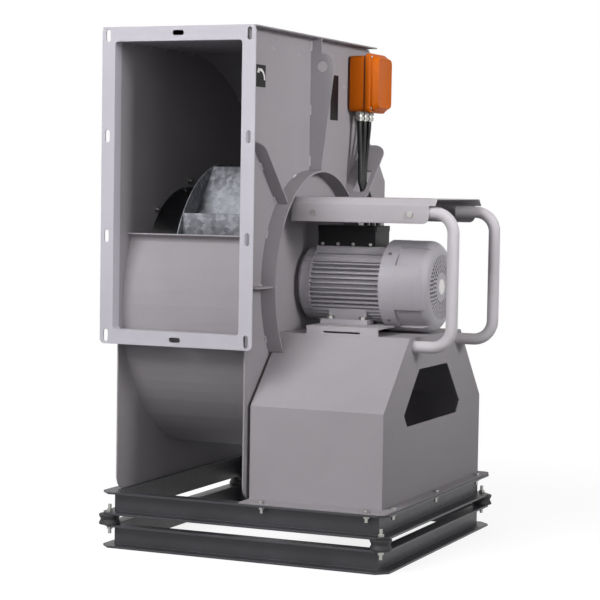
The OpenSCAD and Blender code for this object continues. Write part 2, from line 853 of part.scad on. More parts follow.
stator_len = 120;
module stator_core() {
  color([0.35, 0.33, 0.32]) placed()
    ring(body_x + (body_len - stator_len) / 2, stator_len, stator_r, rotor_r + rotor_gap);
}

// End shields turned with a bearing seat each
seat_wall = 8;
rear_seat_in = 14;
front_seat = motor_x + seat_wall;
rear_seat = cowl_x + rear_seat_in;
shield_in = 4;
shield_r = fin_r - shield_in;
boss_w = 14;
shield_share = 0.3;
lug_len_share = 0.6;
shaft_play = 2;
shield_sink = 6;
module drive_shield() {
  color([0.47, 0.46, 0.48]) placed() difference() {
    union() {
      turned(motor_x) polygon([[0, 0], [shield_r - boss_w, 0],
        [shield_r, shield_len * shield_share], [shield_r, shield_len], [0, shield_len]]);
      for (a = lug_angles) rotate_about(a)
        translate([body_x - shield_len * lug_len_share, -lug_w / 2, stator_r])
          cube([shield_len * lug_len_share, lug_w, fin_r - lug_sink - stator_r]);
    }
    disc(motor_x - touch, shield_len + 2 * touch, shaft_d / 2 + shaft_play);
    disc(front_seat, shield_len, bearing_r);
    disc(front_seat + bearing_w, shield_len, stator_r - shield_sink);
    below_feet(motor_x - touch, shield_len + 2 * touch);
  }
}

shield_t = 12;
seat_gap = 0.3;
module rear_shield() {
  color([0.47, 0.46, 0.48]) placed() difference() {
    union() {
      disc(cowl_x, shield_t, shield_r);
      intersection() {
        disc(cowl_x, shield_t, cowl_in_r - seat_gap);
        for (a = lug_angles) rotate_about(a)
          translate([cowl_x, -lug_w / 2, stator_r]) cube([shield_t, lug_w, cowl_r]);
      }
      disc(cowl_x, rear_seat + bearing_w - cowl_x + shield_in, bearing_r + boss_w);
    }
    disc(cowl_x - touch, rear_seat + bearing_w - cowl_x + touch, bearing_r);
    disc(cowl_x, cowl_len, tail_d / 2 + shaft_play);
  }
}

module shaft_bearings() {
  color([0.7, 0.7, 0.72]) placed() {
    ring(front_seat, bearing_w, bearing_r, shaft_d / 2 + shaft_gap);
    ring(rear_seat, bearing_w, bearing_r, tail_d / 2 + shaft_gap);
  }
}

// Rotating parts

shaft_x0 = back_x - hub_len;
tail_lead = 4;
tail_x = rear_seat - tail_lead;
fan_gap = 26;
fan_x = rear_seat + bearing_w + fan_gap;
fan_len = 46;
shaft_x1 = fan_x + fan_len + tail_lead;
module motor_shaft() {
  color([0.75, 0.75, 0.76]) placed() {
    disc(shaft_x0 + hub_inset, tail_x - shaft_x0 - hub_inset, shaft_d / 2);
    disc(tail_x - eps, shaft_x1 - tail_x, tail_d / 2);
  }
}

module rotor_core() {
  color([0.45, 0.43, 0.42]) placed()
    ring(body_x + (body_len - stator_len) / 2, stator_len, rotor_r, shaft_d / 2);
}

vane_count = 7;
cowl_t = 2.5;
vane_gap = 22;
vane_r = cowl_r - vane_gap;
module cooling_fan() {
  fan_hub = 30;
  fan_disc_t = 3;
  color([0.1, 0.1, 0.11]) placed() difference() {
    union() {
      disc(fan_x, fan_len, fan_hub);
      disc(fan_x, fan_disc_t, vane_r);
      for (i = [0 : vane_count - 1]) rotate_about(i * 360 / vane_count)
        translate([fan_x, -fan_disc_t / 2, fan_hub - fan_disc_t])
          cube([fan_len, fan_disc_t, vane_r - fan_hub]);
    }
    disc(fan_x - touch, fan_len + 2 * touch, tail_d / 2);
  }
}

// Cowl: a front band and four raised pads over the skin, and a grille at the rear
pad_step = 7;
pad_angle = 58;
pad_count = 4;
band_len = 46;
round_r = 26;
cowl_steps = 6;
grille_shares = [0.32, 0.42, 0.52, 0.62];
grille_len_share = 0.085;
grille_pitch = 11;
grille_t = cowl_t;
cowl_in_r = cowl_r - pad_step - cowl_t;
function cowl_edge(grow, down) = [for (i = [0 : cowl_steps])
  [cowl_r - pad_step - round_r + (round_r + grow) * cos(90 * i / cowl_steps),
    cowl_len - round_r - down + (round_r + grow) * sin(90 * i / cowl_steps)]];
cowl_skin = cowl_edge(0, 0);
cowl_hollow = cowl_edge(-cowl_t, 0);
pad_face = cowl_edge(pad_step - touch, pad_step + 2 * gap_t);
cowl_face_r = cowl_r - pad_step - round_r;
module fan_cowl() {
  color([0.5, 0.49, 0.51]) placed() difference() {
    union() {
      turned(cowl_x) polygon(concat([[cowl_r - pad_step, 0]], cowl_skin, [[0, cowl_len], [0, 0]]));
      disc(cowl_x, band_len, cowl_r);
      for (i = [0 : pad_count - 1]) rotate_pad(i * 360 / pad_count)
        polygon(concat([[cowl_face_r, band_len - touch], [cowl_r - touch, band_len - touch]],
          pad_face));
    }
    turned(cowl_x - eps) polygon(concat([[0, 0], [cowl_r - pad_step - cowl_t, 0]], cowl_hollow,
      [[0, cowl_len - cowl_t]]));
    for (share = grille_shares) grille_ring(cowl_r * share);
  }
}

// Pad profile turned through the pad's angle, about the shaft line
module rotate_pad(a) {
  translate([cowl_x, shaft_y, shaft_z]) rotate([a, 0, 0]) rotate([0, 90, 0])
    rotate([0, 0, -pad_angle / 2]) rotate_extrude(angle = pad_angle) children();
}

grille_w = 5;
module grille_ring(r) {
  n = floor(2 * PI * r / grille_pitch);
  for (i = [0 : n - 1]) rotate_about(i * 360 / n)
    translate([cowl_end - 2 * grille_t, -grille_w / 2, r])
      cube([4 * grille_t, grille_w, cowl_r * grille_len_share]);
}

module motor_bolts() {
  head_h = 8;
  color([0.6, 0.6, 0.6]) placed() {
    at_motor_bolts(foot_z + foot_t, head_h, motor_bolt_r * head_share);
    at_motor_bolts(foot_z - plinth_t, foot_t + plinth_t + touch, motor_bolt_r - eps);
  }
}

term_d = 112;
term_lead = 8;
term_back = 40;
term_w = body_len - term_lead - term_back;
term_x = body_x + term_lead;
term_z = shaft_z + core_r + pad_rise;
term_corner = 8;
term_h = 44;
lid_h = 16;
module terminal_box() {
  wall = 4;
  color([0.08, 0.08, 0.09]) placed() difference() {
    translate([term_x, shaft_y - term_d / 2, term_z]) cube([term_w, term_d, term_h]);
    translate([term_x + wall, shaft_y - term_d / 2 + wall, term_z + wall])
      cube([term_w - 2 * wall, term_d - 2 * wall, term_h]);
  }
}

module terminal_lid() {
  over = 3;
  color([0.09, 0.09, 0.1]) placed()
    translate([term_x - over, shaft_y - term_d / 2 - over, term_z + term_h])
      linear_extrude(height = lid_h) rounded(term_w + 2 * over, term_d + 2 * over, term_corner);
}

gland_wall = 4;
gland_r = cable_d / 2 + gland_wall;
gland_len = 18;
cable_gap = gland_r * 2 + gland_wall;
entry_x = [for (i = [0 : 2]) term_x + term_w / 2 + (i - 1) * cable_gap];
entry_z = term_z + term_h / 2;
entry_y = shaft_y + term_d / 2;
module terminal_gland() {
  color([0.75, 0.74, 0.72]) placed()
    for (x = entry_x) translate([x, entry_y, entry_z]) rotate([-90, 0, 0]) difference() {
      cylinder(r = gland_r, h = gland_len, $fn = 6);
      translate([0, 0, -eps]) cylinder(r = cable_d / 2, h = gland_len + 2 * eps, $fn = 24);
    }
}

// Impeller: hub, backplate, backward-curved blades and a curved shroud

module impeller_hub() {
  color([0.55, 0.55, 0.56]) placed() difference() {
    union() {
      disc(back_x - hub_len, hub_len, hub_neck_r);
      disc(back_x - hub_disc_t, hub_disc_t, hub_r);
    }
    disc(shaft_x0 + hub_inset, hub_len, shaft_d / 2);
    disc(shaft_x0 - touch, hub_len, hub_bolt_r);
  }
}

backplate_t = 4;
module impeller_backplate() {
  color([0.55, 0.56, 0.58]) placed() ring(back_x, backplate_t, impeller_r, shaft_d / 2);
}

// Blade: an arc in the turning plane, cut to the shroud line
blade_in_share = 0.755;
blade_arc_share = 0.85;
blade_mid_share = 0.825;
blade_in = eye_r * blade_in_share;
blade_arc_r = impeller_r * blade_arc_share;
blade_sweep = 42;
blade_steps = 10;
function arc_pt(i, off) =
  let (a = -blade_sweep / 2 + blade_sweep * i / blade_steps)
    [(blade_arc_r + off) * cos(a), (blade_arc_r + off) * sin(a)];
blade_tilt = 38;
blade_gap = 6;
module blade_plan() {
  intersection() {
    difference() {
      circle(r = impeller_r - touch);
      circle(r = blade_in);
    }
    translate([impeller_r * blade_mid_share, 0]) rotate([0, 0, blade_tilt])
      translate([-blade_arc_r, 0]) polygon(concat(
        [for (i = [-2 : blade_steps + 2]) arc_pt(i, 0)],
        [for (i = [blade_steps + 2 : -1 : -2]) arc_pt(i, blade_t)]));
  }
}

module impeller_blades() {
  color([0.66, 0.67, 0.7]) placed() difference() {
    for (i = [0 : blade_count - 1]) along_x(throat_x, back_x - throat_x)
      translate([shaft_y, shaft_z]) rotate([0, 0, i * 360 / blade_count]) blade_plan();
    turned(throat_x - touch) shroud_cut();
    disc(throat_x - touch, cone_lap + blade_gap + touch, impeller_r);
  }
}

shroud_steps = 10;
shroud_len = shroud_x - throat_x;
function shroud_r(s) = eye_r + (impeller_r - eye_r) * (1 - cos(90 * s));
function shroud_h(s) = shroud_len * sin(90 * s);
shroud_line = [for (i = [0 : shroud_steps])
  [shroud_r(i / shroud_steps), shroud_h(i / shroud_steps)]];
shroud_back = [for (i = [shroud_steps : -1 : 0])
  [shroud_r(i / shroud_steps) + (i == shroud_steps ? 0 : shroud_t * cos(90 * i / shroud_steps)),
    shroud_h(i / shroud_steps) - shroud_t * sin(90 * i / shroud_steps)]];
module shroud_cut() {
  edge = impeller_r + touch;
  polygon(concat([[edge, -touch], [0, -touch], [0, touch], [eye_r, touch]],
    [for (p = shroud_line) [p[0], p[1] + touch]], [[edge, shroud_len + touch]]));
}

module impeller_shroud() {
  color([0.55, 0.56, 0.58]) placed() turned(throat_x)
    polygon(concat(shroud_line, shroud_back));
}

washer_t = 5;
washer_r = 31;
module hub_washer() {
  color([0.7, 0.7, 0.7]) placed() ring(shaft_x0 - washer_t, washer_t, washer_r, hub_bolt_r);
}

module hub_bolt() {
  head_h = 9;
  bottom = shaft_x0 - washer_t;
  color([0.75, 0.75, 0.74]) placed() {
    disc(bottom - head_h, head_h, hub_bolt_r * head_share);
    disc(bottom - eps, washer_t + hub_inset + eps, hub_bolt_r - eps);
  }
}

// Guard tray and the two bumper tubes

tray_y0 = shaft_y - tray_d / 2;
notch_share = 0.5;
notch_w = tube_span * notch_share;
notch_len = 38;
hole_r = 5;
hole_lead = 68;
hole_back = 55;
tray_r = 18;
tray_holes = [tray_x0 + hole_lead, tray_x1 - hole_back];
module guard_tray() {
  t = guard_t;
  color([0.66, 0.65, 0.67]) placed() difference() {
    along_x(tray_x0, tray_x1 - tray_x0) difference() {
      translate([tray_y0, tray_top - tray_h]) square([tray_d, tray_h]);
      translate([tray_y0 + t, tray_top - tray_h - t]) square([tray_d - 2 * t, tray_h]);
    }
    translate([tray_x1 - notch_len, shaft_y - notch_w / 2, tray_top - 2 * t])
      cube([2 * notch_len, notch_w, 4 * t]);
    for (x = tray_holes)
      translate([x, 0, tray_top - tray_h / 2]) rotate([-90, 0, 0])
        cylinder(r = hole_r, h = base_d, $fn = 24);
    translate([tray_x1 - tray_r, 0, tray_top - tray_h + tray_r]) difference() {
      translate([0, 0, -2 * tray_r]) cube([2 * tray_r, base_d, 2 * tray_r]);
      rotate([-90, 0, 0]) cylinder(r = tray_r, h = base_d, $fn = 48);
    }
  }
}

module quarter(x, y, z, a) {
  translate([x, y, z]) rotate([90, 0, 0]) rotate([0, 0, a])
    rotate_extrude(angle = 90) translate([bend_r, 0]) circle(r = tube_d / 2, $fn = 48);
}

module bumper(y) {
  mid = tube_x - bend_r;
  r = tube_d / 2;
  translate([tube_x, y, tube_lo + bend_r]) cylinder(r = r, h = tube_h - 2 * bend_r, $fn = 48);
  quarter(mid, y, tube_lo + bend_r, -90);
  quarter(mid, y, tube_hi - bend_r, 0);
  translate([pedestal_end, y, tube_lo]) rotate([0, 90, 0])
    cylinder(r = r, h = mid - pedestal_end, $fn = 48);
  translate([tray_x1 - tray_h, y, tube_hi]) rotate([0, 90, 0])
    cylinder(r = r, h = mid - tray_x1 + tray_h, $fn = 48);
}

module bumper_tube_near() {
  color([0.68, 0.67, 0.7]) placed() bumper(shaft_y - tube_span / 2);
}
module bumper_tube_far() {
  color([0.68, 0.67, 0.7]) placed() bumper(shaft_y + tube_span / 2);
}

module guard_screws() {
  head_t = 4;
  color([0.35, 0.35, 0.36]) placed()
    for (x = tray_holes) for (s = [-1, 1]) {
      translate([x, shaft_y + s * tray_d / 2, tray_top - tray_h / 2]) rotate([-s * 90, 0, 0]) {
        cylinder(r = hole_r * head_share, h = head_t, $fn = 32);
        translate([0, 0, -guard_t]) cylinder(r = hole_r - eps, h = guard_t + eps, $fn = 24);
      }
    }
}

// Switch box on a bracket, three cables to the motor

box_setback = 284;
box_drop = 30;
box_y = shaft_y + box_setback;
box_z = flange_hi - box_drop - box_h;
bracket_t = 4;
box_x = plate_x + 2 * bracket_t;
box_r = 10;
module box_section(grow, r) {
  translate([box_y - grow, box_z - grow]) rounded(box_w + 2 * grow, box_h + 2 * grow, r);
}

module switch_bracket() {
  pad = 30;
  color([0.55, 0.54, 0.56]) placed() difference() {
    along_x(plate_x, box_x - plate_x) translate([box_y + pad, box_z + pad])
      square([box_w - 2 * pad, box_h - 2 * pad]);
    along_x(plate_x - touch, bracket_t) translate([box_y + pad + bracket_t, box_z - pad])
      square([box_w - 2 * pad - 2 * bracket_t, box_h + 2 * pad]);
  }
}

wall_t = 4;
gland_shares = [0.2, 0.5, 0.8];
gland_x = box_x + box_d / 2;
gland_y = [for (share = gland_shares) box_y + share * box_w];
ear_t = 18;
ear_h = 16;
ear_out = 4;
ear_in = 8;
module switch_box() {
  color([0.8, 0.36, 0.05]) placed() difference() {
    union() {
      along_x(box_x, box_d) box_section(0, box_r);
      for (z = [box_z + ear_in, box_z + box_h - ear_in - ear_h])
        translate([box_x + box_d - ear_t, box_y - ear_out, z])
          cube([ear_t, box_w + 2 * ear_out, ear_h]);
    }
    along_x(box_x + wall_t, box_d) box_section(-wall_t, box_r - wall_t);
    for (y = gland_y) translate([gland_x, y, box_z - touch])
      cylinder(r = cable_d / 2 + touch, h = wall_t * 2, $fn = 24);
  }
}

lid_bevel = 12;
lid_over = 3;
lid_steps = [3, 10];
lid_corner = 18;
module switch_lid() {
  x1 = box_x + box_d;
  color([0.82, 0.38, 0.05]) placed() {
    along_x(x1, lid_d - lid_bevel) box_section(lid_over, lid_corner);
    along_x(x1 + lid_d - lid_bevel - eps, lid_bevel / 2 + eps)
      box_section(-lid_steps[0], lid_corner - lid_steps[0]);
    along_x(x1 + lid_d - lid_bevel / 2 - eps, lid_bevel / 2 + eps)
      box_section(-lid_steps[1], lid_corner - lid_steps[1]);
  }
}

box_gland_len = 28;
gland_nut_h = 9;
gland_nut_shares = [0.1, 0.62];
module switch_glands() {
  color([0.8, 0.78, 0.74]) placed() for (y = gland_y)
    translate([gland_x, y, box_z - box_gland_len]) difference() {
      union() {
        cylinder(r = gland_r, h = box_gland_len, $fn = 24);
        for (share = gland_nut_shares) translate([0, 0, share * box_gland_len])
          cylinder(r = gland_r + gland_wall, h = gland_nut_h, $fn = 6);
      }
      translate([0, 0, -eps])
        cylinder(r = cable_d / 2, h = box_gland_len + 2 * eps, $fn = 24);
    }
}

// Cable line from a gland, through the rib, to the motor's terminal box
function bez(a, b, c, d, t) = pow(1 - t, 3) * a + 3 * pow(1 - t, 2) * t * b
  + 3 * (1 - t) * t * t * c + pow(t, 3) * d;
cable_steps = 7;
cable_dip = 90;
cable_out = 30;
cable_side = 130;
cable_gap_w = 3;
tray_clear = 27.5;
cable_under = tray_top - tray_h - cable_d - tray_clear;
cable_pitch = cable_d + cable_gap_w;
pass_y = shaft_y + cable_pass * sin(45);
pass_z = shaft_z + cable_pass * cos(45);
function cable_line(i) =
  let (
    start = [gland_x, gland_y[i], box_z - touch],
    a = start - [0, 0, box_gland_len + gap_t],
    b = [plate_x + pass_x + pass_h / 2, pass_y + (i - 1) * cable_pitch, pass_z],
    end = [entry_x[i], entry_y + touch, entry_z],
    c = end + [0, gland_len + gap_t, 0],
    dip = [0, 0, cable_dip],
    side = [0, cable_side, cable_under - entry_z])
  concat([start],
    [for (k = [0 : cable_steps - 1]) bez(a, a - dip / 2, b + dip, b, k / cable_steps)],
    [for (k = [0 : cable_steps]) bez(b, b - dip + [cable_out, 0, 0], c + side, c,
      k / cable_steps)],
    [end]);

// Tube swept along a line of points as one closed skin
cable_sides = 12;
function unit(v) = v / norm(v);
function tangent(line, k) =
  unit(line[min(k + 1, len(line) - 1)] - line[max(k - 1, 0)]);
function ring_at(line, k, r) =
  let (t = tangent(line, k), n = unit(cross(t, [1, 0, 0])), b = cross(t, n))
    [for (j = [0 : cable_sides - 1])
      line[k] + r * (cos(360 * j / cable_sides) * n + sin(360 * j / cable_sides) * b)];

module swept(line, r) {
  n = len(line);
  m = cable_sides;
  pts = [for (k = [0 : n - 1]) each ring_at(line, k, r)];
  sides = [for (k = [0 : n - 2]) for (j = [0 : m - 1])
    let (a = k * m + j, b = k * m + (j + 1) % m, c = (k + 1) * m + j, d = (k + 1) * m + (j + 1) % m)
      each [[a, c, b], [b, c, d]]];
  polyhedron(points = pts, faces = concat(sides,
    [[for (j = [0 : m - 1]) j]], [[for (j = [m - 1 : -1 : 0]) (n - 1) * m + j]]));
}

module motor_cables() {
  color([0.04, 0.04, 0.05]) placed()
    for (i = [0 : 2]) swept(cable_line(i), cable_d / 2 - touch / 4);
}

// Blank plates on the motor side: turning direction and an empty one

plate_t = 1.5;
module rotation_plate() {
  s = 62;
  setback = 82;
  drop = 103;
  color([0.06, 0.06, 0.07]) placed()
    translate([plate_x, flange_y + setback, flange_hi - drop - s]) cube([plate_t, s, s]);
}

module blank_plate() {
  w = 100;
  h = 137;
  setback = 153;
  drop = 101;
  color([0.06, 0.06, 0.07]) placed()
    translate([plate_x, shaft_y + setback, flange_hi - drop - h]) cube([plate_t, w, h]);
}

lower_frame_front();
lower_frame_rear();
lower_frame_left();
lower_frame_right();
upper_frame_front();
upper_frame_rear();
upper_frame_left();
upper_frame_right();
rubber_mounts();
mount_studs();
inlet_side_plate();
motor_side_plate();
scroll_wrapper();
cutoff_lip();
top_plate();
outlet_flange();
inlet_ring();
inlet_cone();
cone_bolts();
shaft_seal();
stiffener_ring();
lifting_rib();
casing_ribs();
cable_rib();
pedestal_shell();
pedestal_end();
pedestal_foot();
foot_bolts();
motor_plinth();
motor_feet();
stator_housing();
stator_core();
drive_shield();
rear_shield();
shaft_bearings();
motor_shaft();
rotor_core();
cooling_fan();
fan_cowl();
motor_bolts();
terminal_box();
terminal_lid();
terminal_gland();
impeller_hub();
impeller_backplate();
impeller_blades();
impeller_shroud();
hub_washer();
hub_bolt();
guard_tray();
bumper_tube_near();
bumper_tube_far();
guard_screws();
switch_box();
switch_lid();
switch_bracket();
switch_glands();
motor_cables();
rotation_plate();
blank_plate();
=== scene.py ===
import math
import random

import bpy
from mathutils import Matrix, Vector
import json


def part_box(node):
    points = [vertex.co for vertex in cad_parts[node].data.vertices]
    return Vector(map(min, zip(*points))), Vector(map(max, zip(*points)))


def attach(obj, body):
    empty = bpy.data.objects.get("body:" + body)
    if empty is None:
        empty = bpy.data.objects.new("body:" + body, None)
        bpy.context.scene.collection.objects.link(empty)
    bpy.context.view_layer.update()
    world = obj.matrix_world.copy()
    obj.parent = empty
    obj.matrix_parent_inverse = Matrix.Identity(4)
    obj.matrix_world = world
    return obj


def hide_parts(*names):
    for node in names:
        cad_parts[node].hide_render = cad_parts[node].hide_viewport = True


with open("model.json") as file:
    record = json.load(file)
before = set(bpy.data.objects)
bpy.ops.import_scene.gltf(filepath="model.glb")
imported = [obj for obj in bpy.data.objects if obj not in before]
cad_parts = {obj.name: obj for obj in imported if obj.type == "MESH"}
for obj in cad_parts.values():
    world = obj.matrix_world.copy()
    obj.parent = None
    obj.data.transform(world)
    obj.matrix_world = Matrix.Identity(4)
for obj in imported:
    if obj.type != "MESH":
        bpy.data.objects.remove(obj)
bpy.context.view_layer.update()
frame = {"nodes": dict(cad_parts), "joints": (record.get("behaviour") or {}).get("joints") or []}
nodes = frame["nodes"]
dice = random.Random(7)
mm = 0.001
print("frame loaded:", len(nodes), "nodes")


# shader helpers

class Wire:  # a socket that can be added, multiplied and so on
    def __init__(self, sheet, socket):
        self.sheet = sheet
        self.socket = socket

    def math(self, kind, other=None, flip=False):
        a, b = (other, self) if flip else (self, other)
        inputs = {0: a} if other is None else {0: a, 1: b}
        return self.sheet.add("ShaderNodeMath", {"operation": kind}, inputs, "Value")

    def __add__(self, other):
        return self.math("ADD", other)

    def __mul__(self, other):
        return self.math("MULTIPLY", other)

    def __sub__(self, other):
        return self.math("SUBTRACT", other)

    def __rsub__(self, other):
        return self.math("SUBTRACT", other, True)

    __radd__ = __add__
    __rmul__ = __mul__

    def clamp(self):
        return self.sheet.add("ShaderNodeClamp", {}, {"Value": self}, "Result")


class Sheet:  # one material's node sheet
    def __init__(self, name):
        self.material = bpy.data.materials.new(name)
        self.material.use_nodes = True
        self.nodes = self.material.node_tree.nodes
        self.links = self.material.node_tree.links
        self.shader = self.nodes["Principled BSDF"]

    def add(self, kind, settings, inputs, output):
        made = self.nodes.new(kind)
        for key, value in settings.items():
            if key == "stops":
                ramp = made.color_ramp
                while len(ramp.elements) < len(value):
                    ramp.elements.new(0.5)
                for stop, (place, shade) in zip(ramp.elements, value):
                    stop.position = place
                    stop.color = shade
            else:
                setattr(made, key, value)
        for key, value in inputs.items():
            self.feed(made.inputs[key], value)
        return Wire(self, made.outputs[output])

    def feed(self, socket, value):
        if isinstance(value, Wire):
            self.links.new(value.socket, socket)
        else:
            socket.default_value = value

    def set(self, **values):
        for key, value in values.items():
            self.feed(self.shader.inputs[key.replace("_", " ")], value)

    def place(self):
        return self.add("ShaderNodeTexCoord", {}, {}, "Object")

    def noise(self, scale, detail=3.0, rough=0.5, where=None):
        inputs = {"Vector": where or self.place(), "Scale": scale, "Detail": detail, "Roughness": rough}
        return self.add("ShaderNodeTexNoise", {}, inputs, "Fac")

    def ramp(self, value, stops):
        return self.add("ShaderNodeValToRGB", {"stops": stops}, {"Fac": value}, "Color")

    def mix(self, amount, first, second):
        inputs = {0: amount, 6: first, 7: second}
        return self.add("ShaderNodeMix", {"data_type": "RGBA"}, inputs, 2)

    def bump(self, height, strength, distance, base=None):
        inputs = {"Height": height, "Strength": strength, "Distance": distance}
        if base:
            inputs["Normal"] = base
        return self.add("ShaderNodeBump", {}, inputs, "Normal")

    def softEdge(self, radius):
        return self.add("ShaderNodeBevel", {"samples": 4}, {"Radius": radius}, "Normal")

    def edgeMask(self, radius):  # 1 on sharp edges, 0 on flats
        soft = self.add("ShaderNodeBevel", {"samples": 4}, {"Radius": radius}, "Normal")
        flat = self.add("ShaderNodeNewGeometry", {}, {}, "Normal")
        dot = self.add("ShaderNodeVectorMath", {"operation": "DOT_PRODUCT"}, {0: soft, 1: flat}, "Value")
        return (1.0 - dot).clamp()


def toLinear(v):
    v = v / 255
    return v / 12.92 if v <= 0.04045 else ((v + 0.055) / 1.055) ** 2.4


def shade(r, g, b):
    return (toLinear(r), toLinear(g), toLinear(b), 1.0)


def scaled(colour, k):
    return (colour[0] * k, colour[1] * k, colour[2] * k, 1.0)


# finishes

paintLook = {
    # flange is the casing paint made lighter: painted light for its brightly lit front
    "casing": (154, 150, 154), "flange": (187, 184, 192), "motor": (165, 161, 167),
    # tube is the tray paint made lighter: painted light on the bumper tubes
    "tray": (168, 164, 168), "tube": (188, 184, 188),
    "frame": (44, 44, 48), "cone": (22, 22, 24), "orange": (188, 90, 0),
    "plate": (24, 22, 24), "bracket": (150, 146, 150),
}


def powderCoat(name, colour, roughness=0.6, grain=1.0, edge=1.2 * mm, spread=0.04, shine=0.12):
    sheet = Sheet(name)
    base = shade(*colour)
    cloud = sheet.noise(3.5, 4.0, 0.55)
    smudge = sheet.noise(14.0, 5.0, 0.65)
    tone = sheet.ramp(cloud * 0.6 + smudge * 0.4, [
        (0.3, scaled(base, 1 - spread)), (0.5, base), (0.72, scaled(base, 1 + spread))])
    peel = sheet.noise(620.0, 2.0, 0.5)
    soft = sheet.softEdge(edge)
    normal = sheet.bump(peel, 0.09 * grain, 0.25 * mm, soft)
    sheet.set(Base_Color=tone, Roughness=smudge * 0.12 + (roughness - 0.06), Normal=normal)
    sheet.set(Specular_IOR_Level=shine)
    return sheet.material


def rolledSteelPaint(name, colour):
    sheet = Sheet(name)
    base = shade(*colour)
    scale = sheet.noise(60.0, 6.0, 0.7)
    dust = sheet.noise(7.0, 4.0, 0.6)
    # painted highlight: the frame's sharp edges are painted a lighter grey
    edge = sheet.edgeMask(1.5 * mm)
    dusty = sheet.ramp(dust, [(0.35, base), (0.75, scaled(base, 1.9))])
    paintedEdgeHighlight = sheet.mix((edge * 1.4).clamp(), dusty, shade(92, 92, 96))
    soft = sheet.softEdge(2.0 * mm)
    normal = sheet.bump(scale, 0.28, 0.5 * mm, soft)
    sheet.set(Base_Color=paintedEdgeHighlight, Roughness=scale * 0.25 + 0.3, Normal=normal)
    return sheet.material


def castPaint(name, colour, roughness=0.4):
    sheet = Sheet(name)
    base = shade(*colour)
    cloud = sheet.noise(12.0, 4.0, 0.6)
    cast = sheet.noise(260.0, 4.0, 0.6)
    tone = sheet.ramp(cloud, [(0.3, scaled(base, 0.93)), (0.7, scaled(base, 1.07))])
    soft = sheet.softEdge(1.2 * mm)
    normal = sheet.bump(cast, 0.16, 0.4 * mm, soft)
    sheet.set(Base_Color=tone, Roughness=cast * 0.15 + (roughness - 0.08), Normal=normal)
    sheet.set(Specular_IOR_Level=0.3)
    return sheet.material


def galvanisedSheet(name):
    sheet = Sheet(name)
    crystal = sheet.add("ShaderNodeTexVoronoi", {}, {"Vector": sheet.place(), "Scale": 75.0}, "Color")
    grey = sheet.add("ShaderNodeRGBToBW", {}, {"Color": crystal}, "Val")
    stain = sheet.noise(22.0, 6.0, 0.7)
    tone = sheet.ramp(grey * 0.5 + stain * 0.5, [
        (0.25, shade(96, 98, 104)), (0.55, shade(134, 136, 142)), (0.85, shade(168, 169, 174))])
    soft = sheet.softEdge(0.8 * mm)
    sheet.set(Base_Color=tone, Metallic=0.45, Roughness=grey * 0.2 + stain * 0.25 + 0.35,
              Normal=sheet.bump(grey, 0.08, 0.2 * mm, soft))
    return sheet.material


def bareMetal(name, colour, roughness=0.3, scratch=0.1):
    sheet = Sheet(name)
    base = shade(*colour)
    wear = sheet.noise(90.0, 5.0, 0.65)
    tone = sheet.ramp(wear, [(0.3, scaled(base, 0.8)), (0.7, base)])
    soft = sheet.softEdge(0.5 * mm)
    sheet.set(Base_Color=tone, Metallic=1.0, Roughness=wear * 0.2 + (roughness - 0.1),
              Normal=sheet.bump(wear, scratch, 0.2 * mm, soft))
    return sheet.material


def dullRubber(name, colour=(26, 26, 28), roughness=0.62, grain=240.0):
    sheet = Sheet(name)
    base = shade(*colour)
    bloom = sheet.noise(18.0, 4.0, 0.6)
    pores = sheet.noise(grain, 3.0, 0.5)
    tone = sheet.ramp(bloom, [(0.35, base), (0.75, scaled(base, 1.8))])
    soft = sheet.softEdge(0.8 * mm)
    sheet.set(Base_Color=tone, Roughness=bloom * 0.2 + (roughness - 0.1),
              Normal=sheet.bump(pores, 0.12, 0.2 * mm, soft))
    return sheet.material


def mouldedPlastic(name, colour, roughness=0.5, shine=0.12):
    sheet = Sheet(name)
    base = shade(*colour)
    cloud = sheet.noise(16.0, 3.0, 0.5)
    grain = sheet.noise(900.0, 2.0, 0.5)
    tone = sheet.ramp(cloud, [(0.3, scaled(base, 0.94)), (0.7, scaled(base, 1.04))])
    soft = sheet.softEdge(1.4 * mm)
    sheet.set(Base_Color=tone, Roughness=cloud * 0.1 + (roughness - 0.05),
              Specular_IOR_Level=shine, Normal=sheet.bump(grain, 0.05, 0.1 * mm, soft))
    return sheet.material


def lacquer(name, colour, roughness=0.18):
    sheet = Sheet(name)
    base = shade(*colour)
    dust = sheet.noise(30.0, 5.0, 0.7)
    tone = sheet.ramp(dust, [(0.4, base), (0.85, scaled(base, 2.2))])
    sheet.set(Base_Color=tone, Roughness=dust * 0.25 + (roughness - 0.08),
              Normal=sheet.bump(dust, 0.03, 0.3 * mm))
    return sheet.material


def cableJacket(name):
    sheet = Sheet(name)
    base = shade(9, 9, 10)
    dust = sheet.noise(60.0, 4.0, 0.6)
    tone = sheet.ramp(dust, [(0.4, base), (0.8, scaled(base, 1.8))])
    sheet.set(Base_Color=tone, Roughness=dust * 0.2 + 0.36, Normal=sheet.bump(dust, 0.05, 0.3 * mm))
    sheet.set(Specular_IOR_Level=0.3)
    return sheet.material


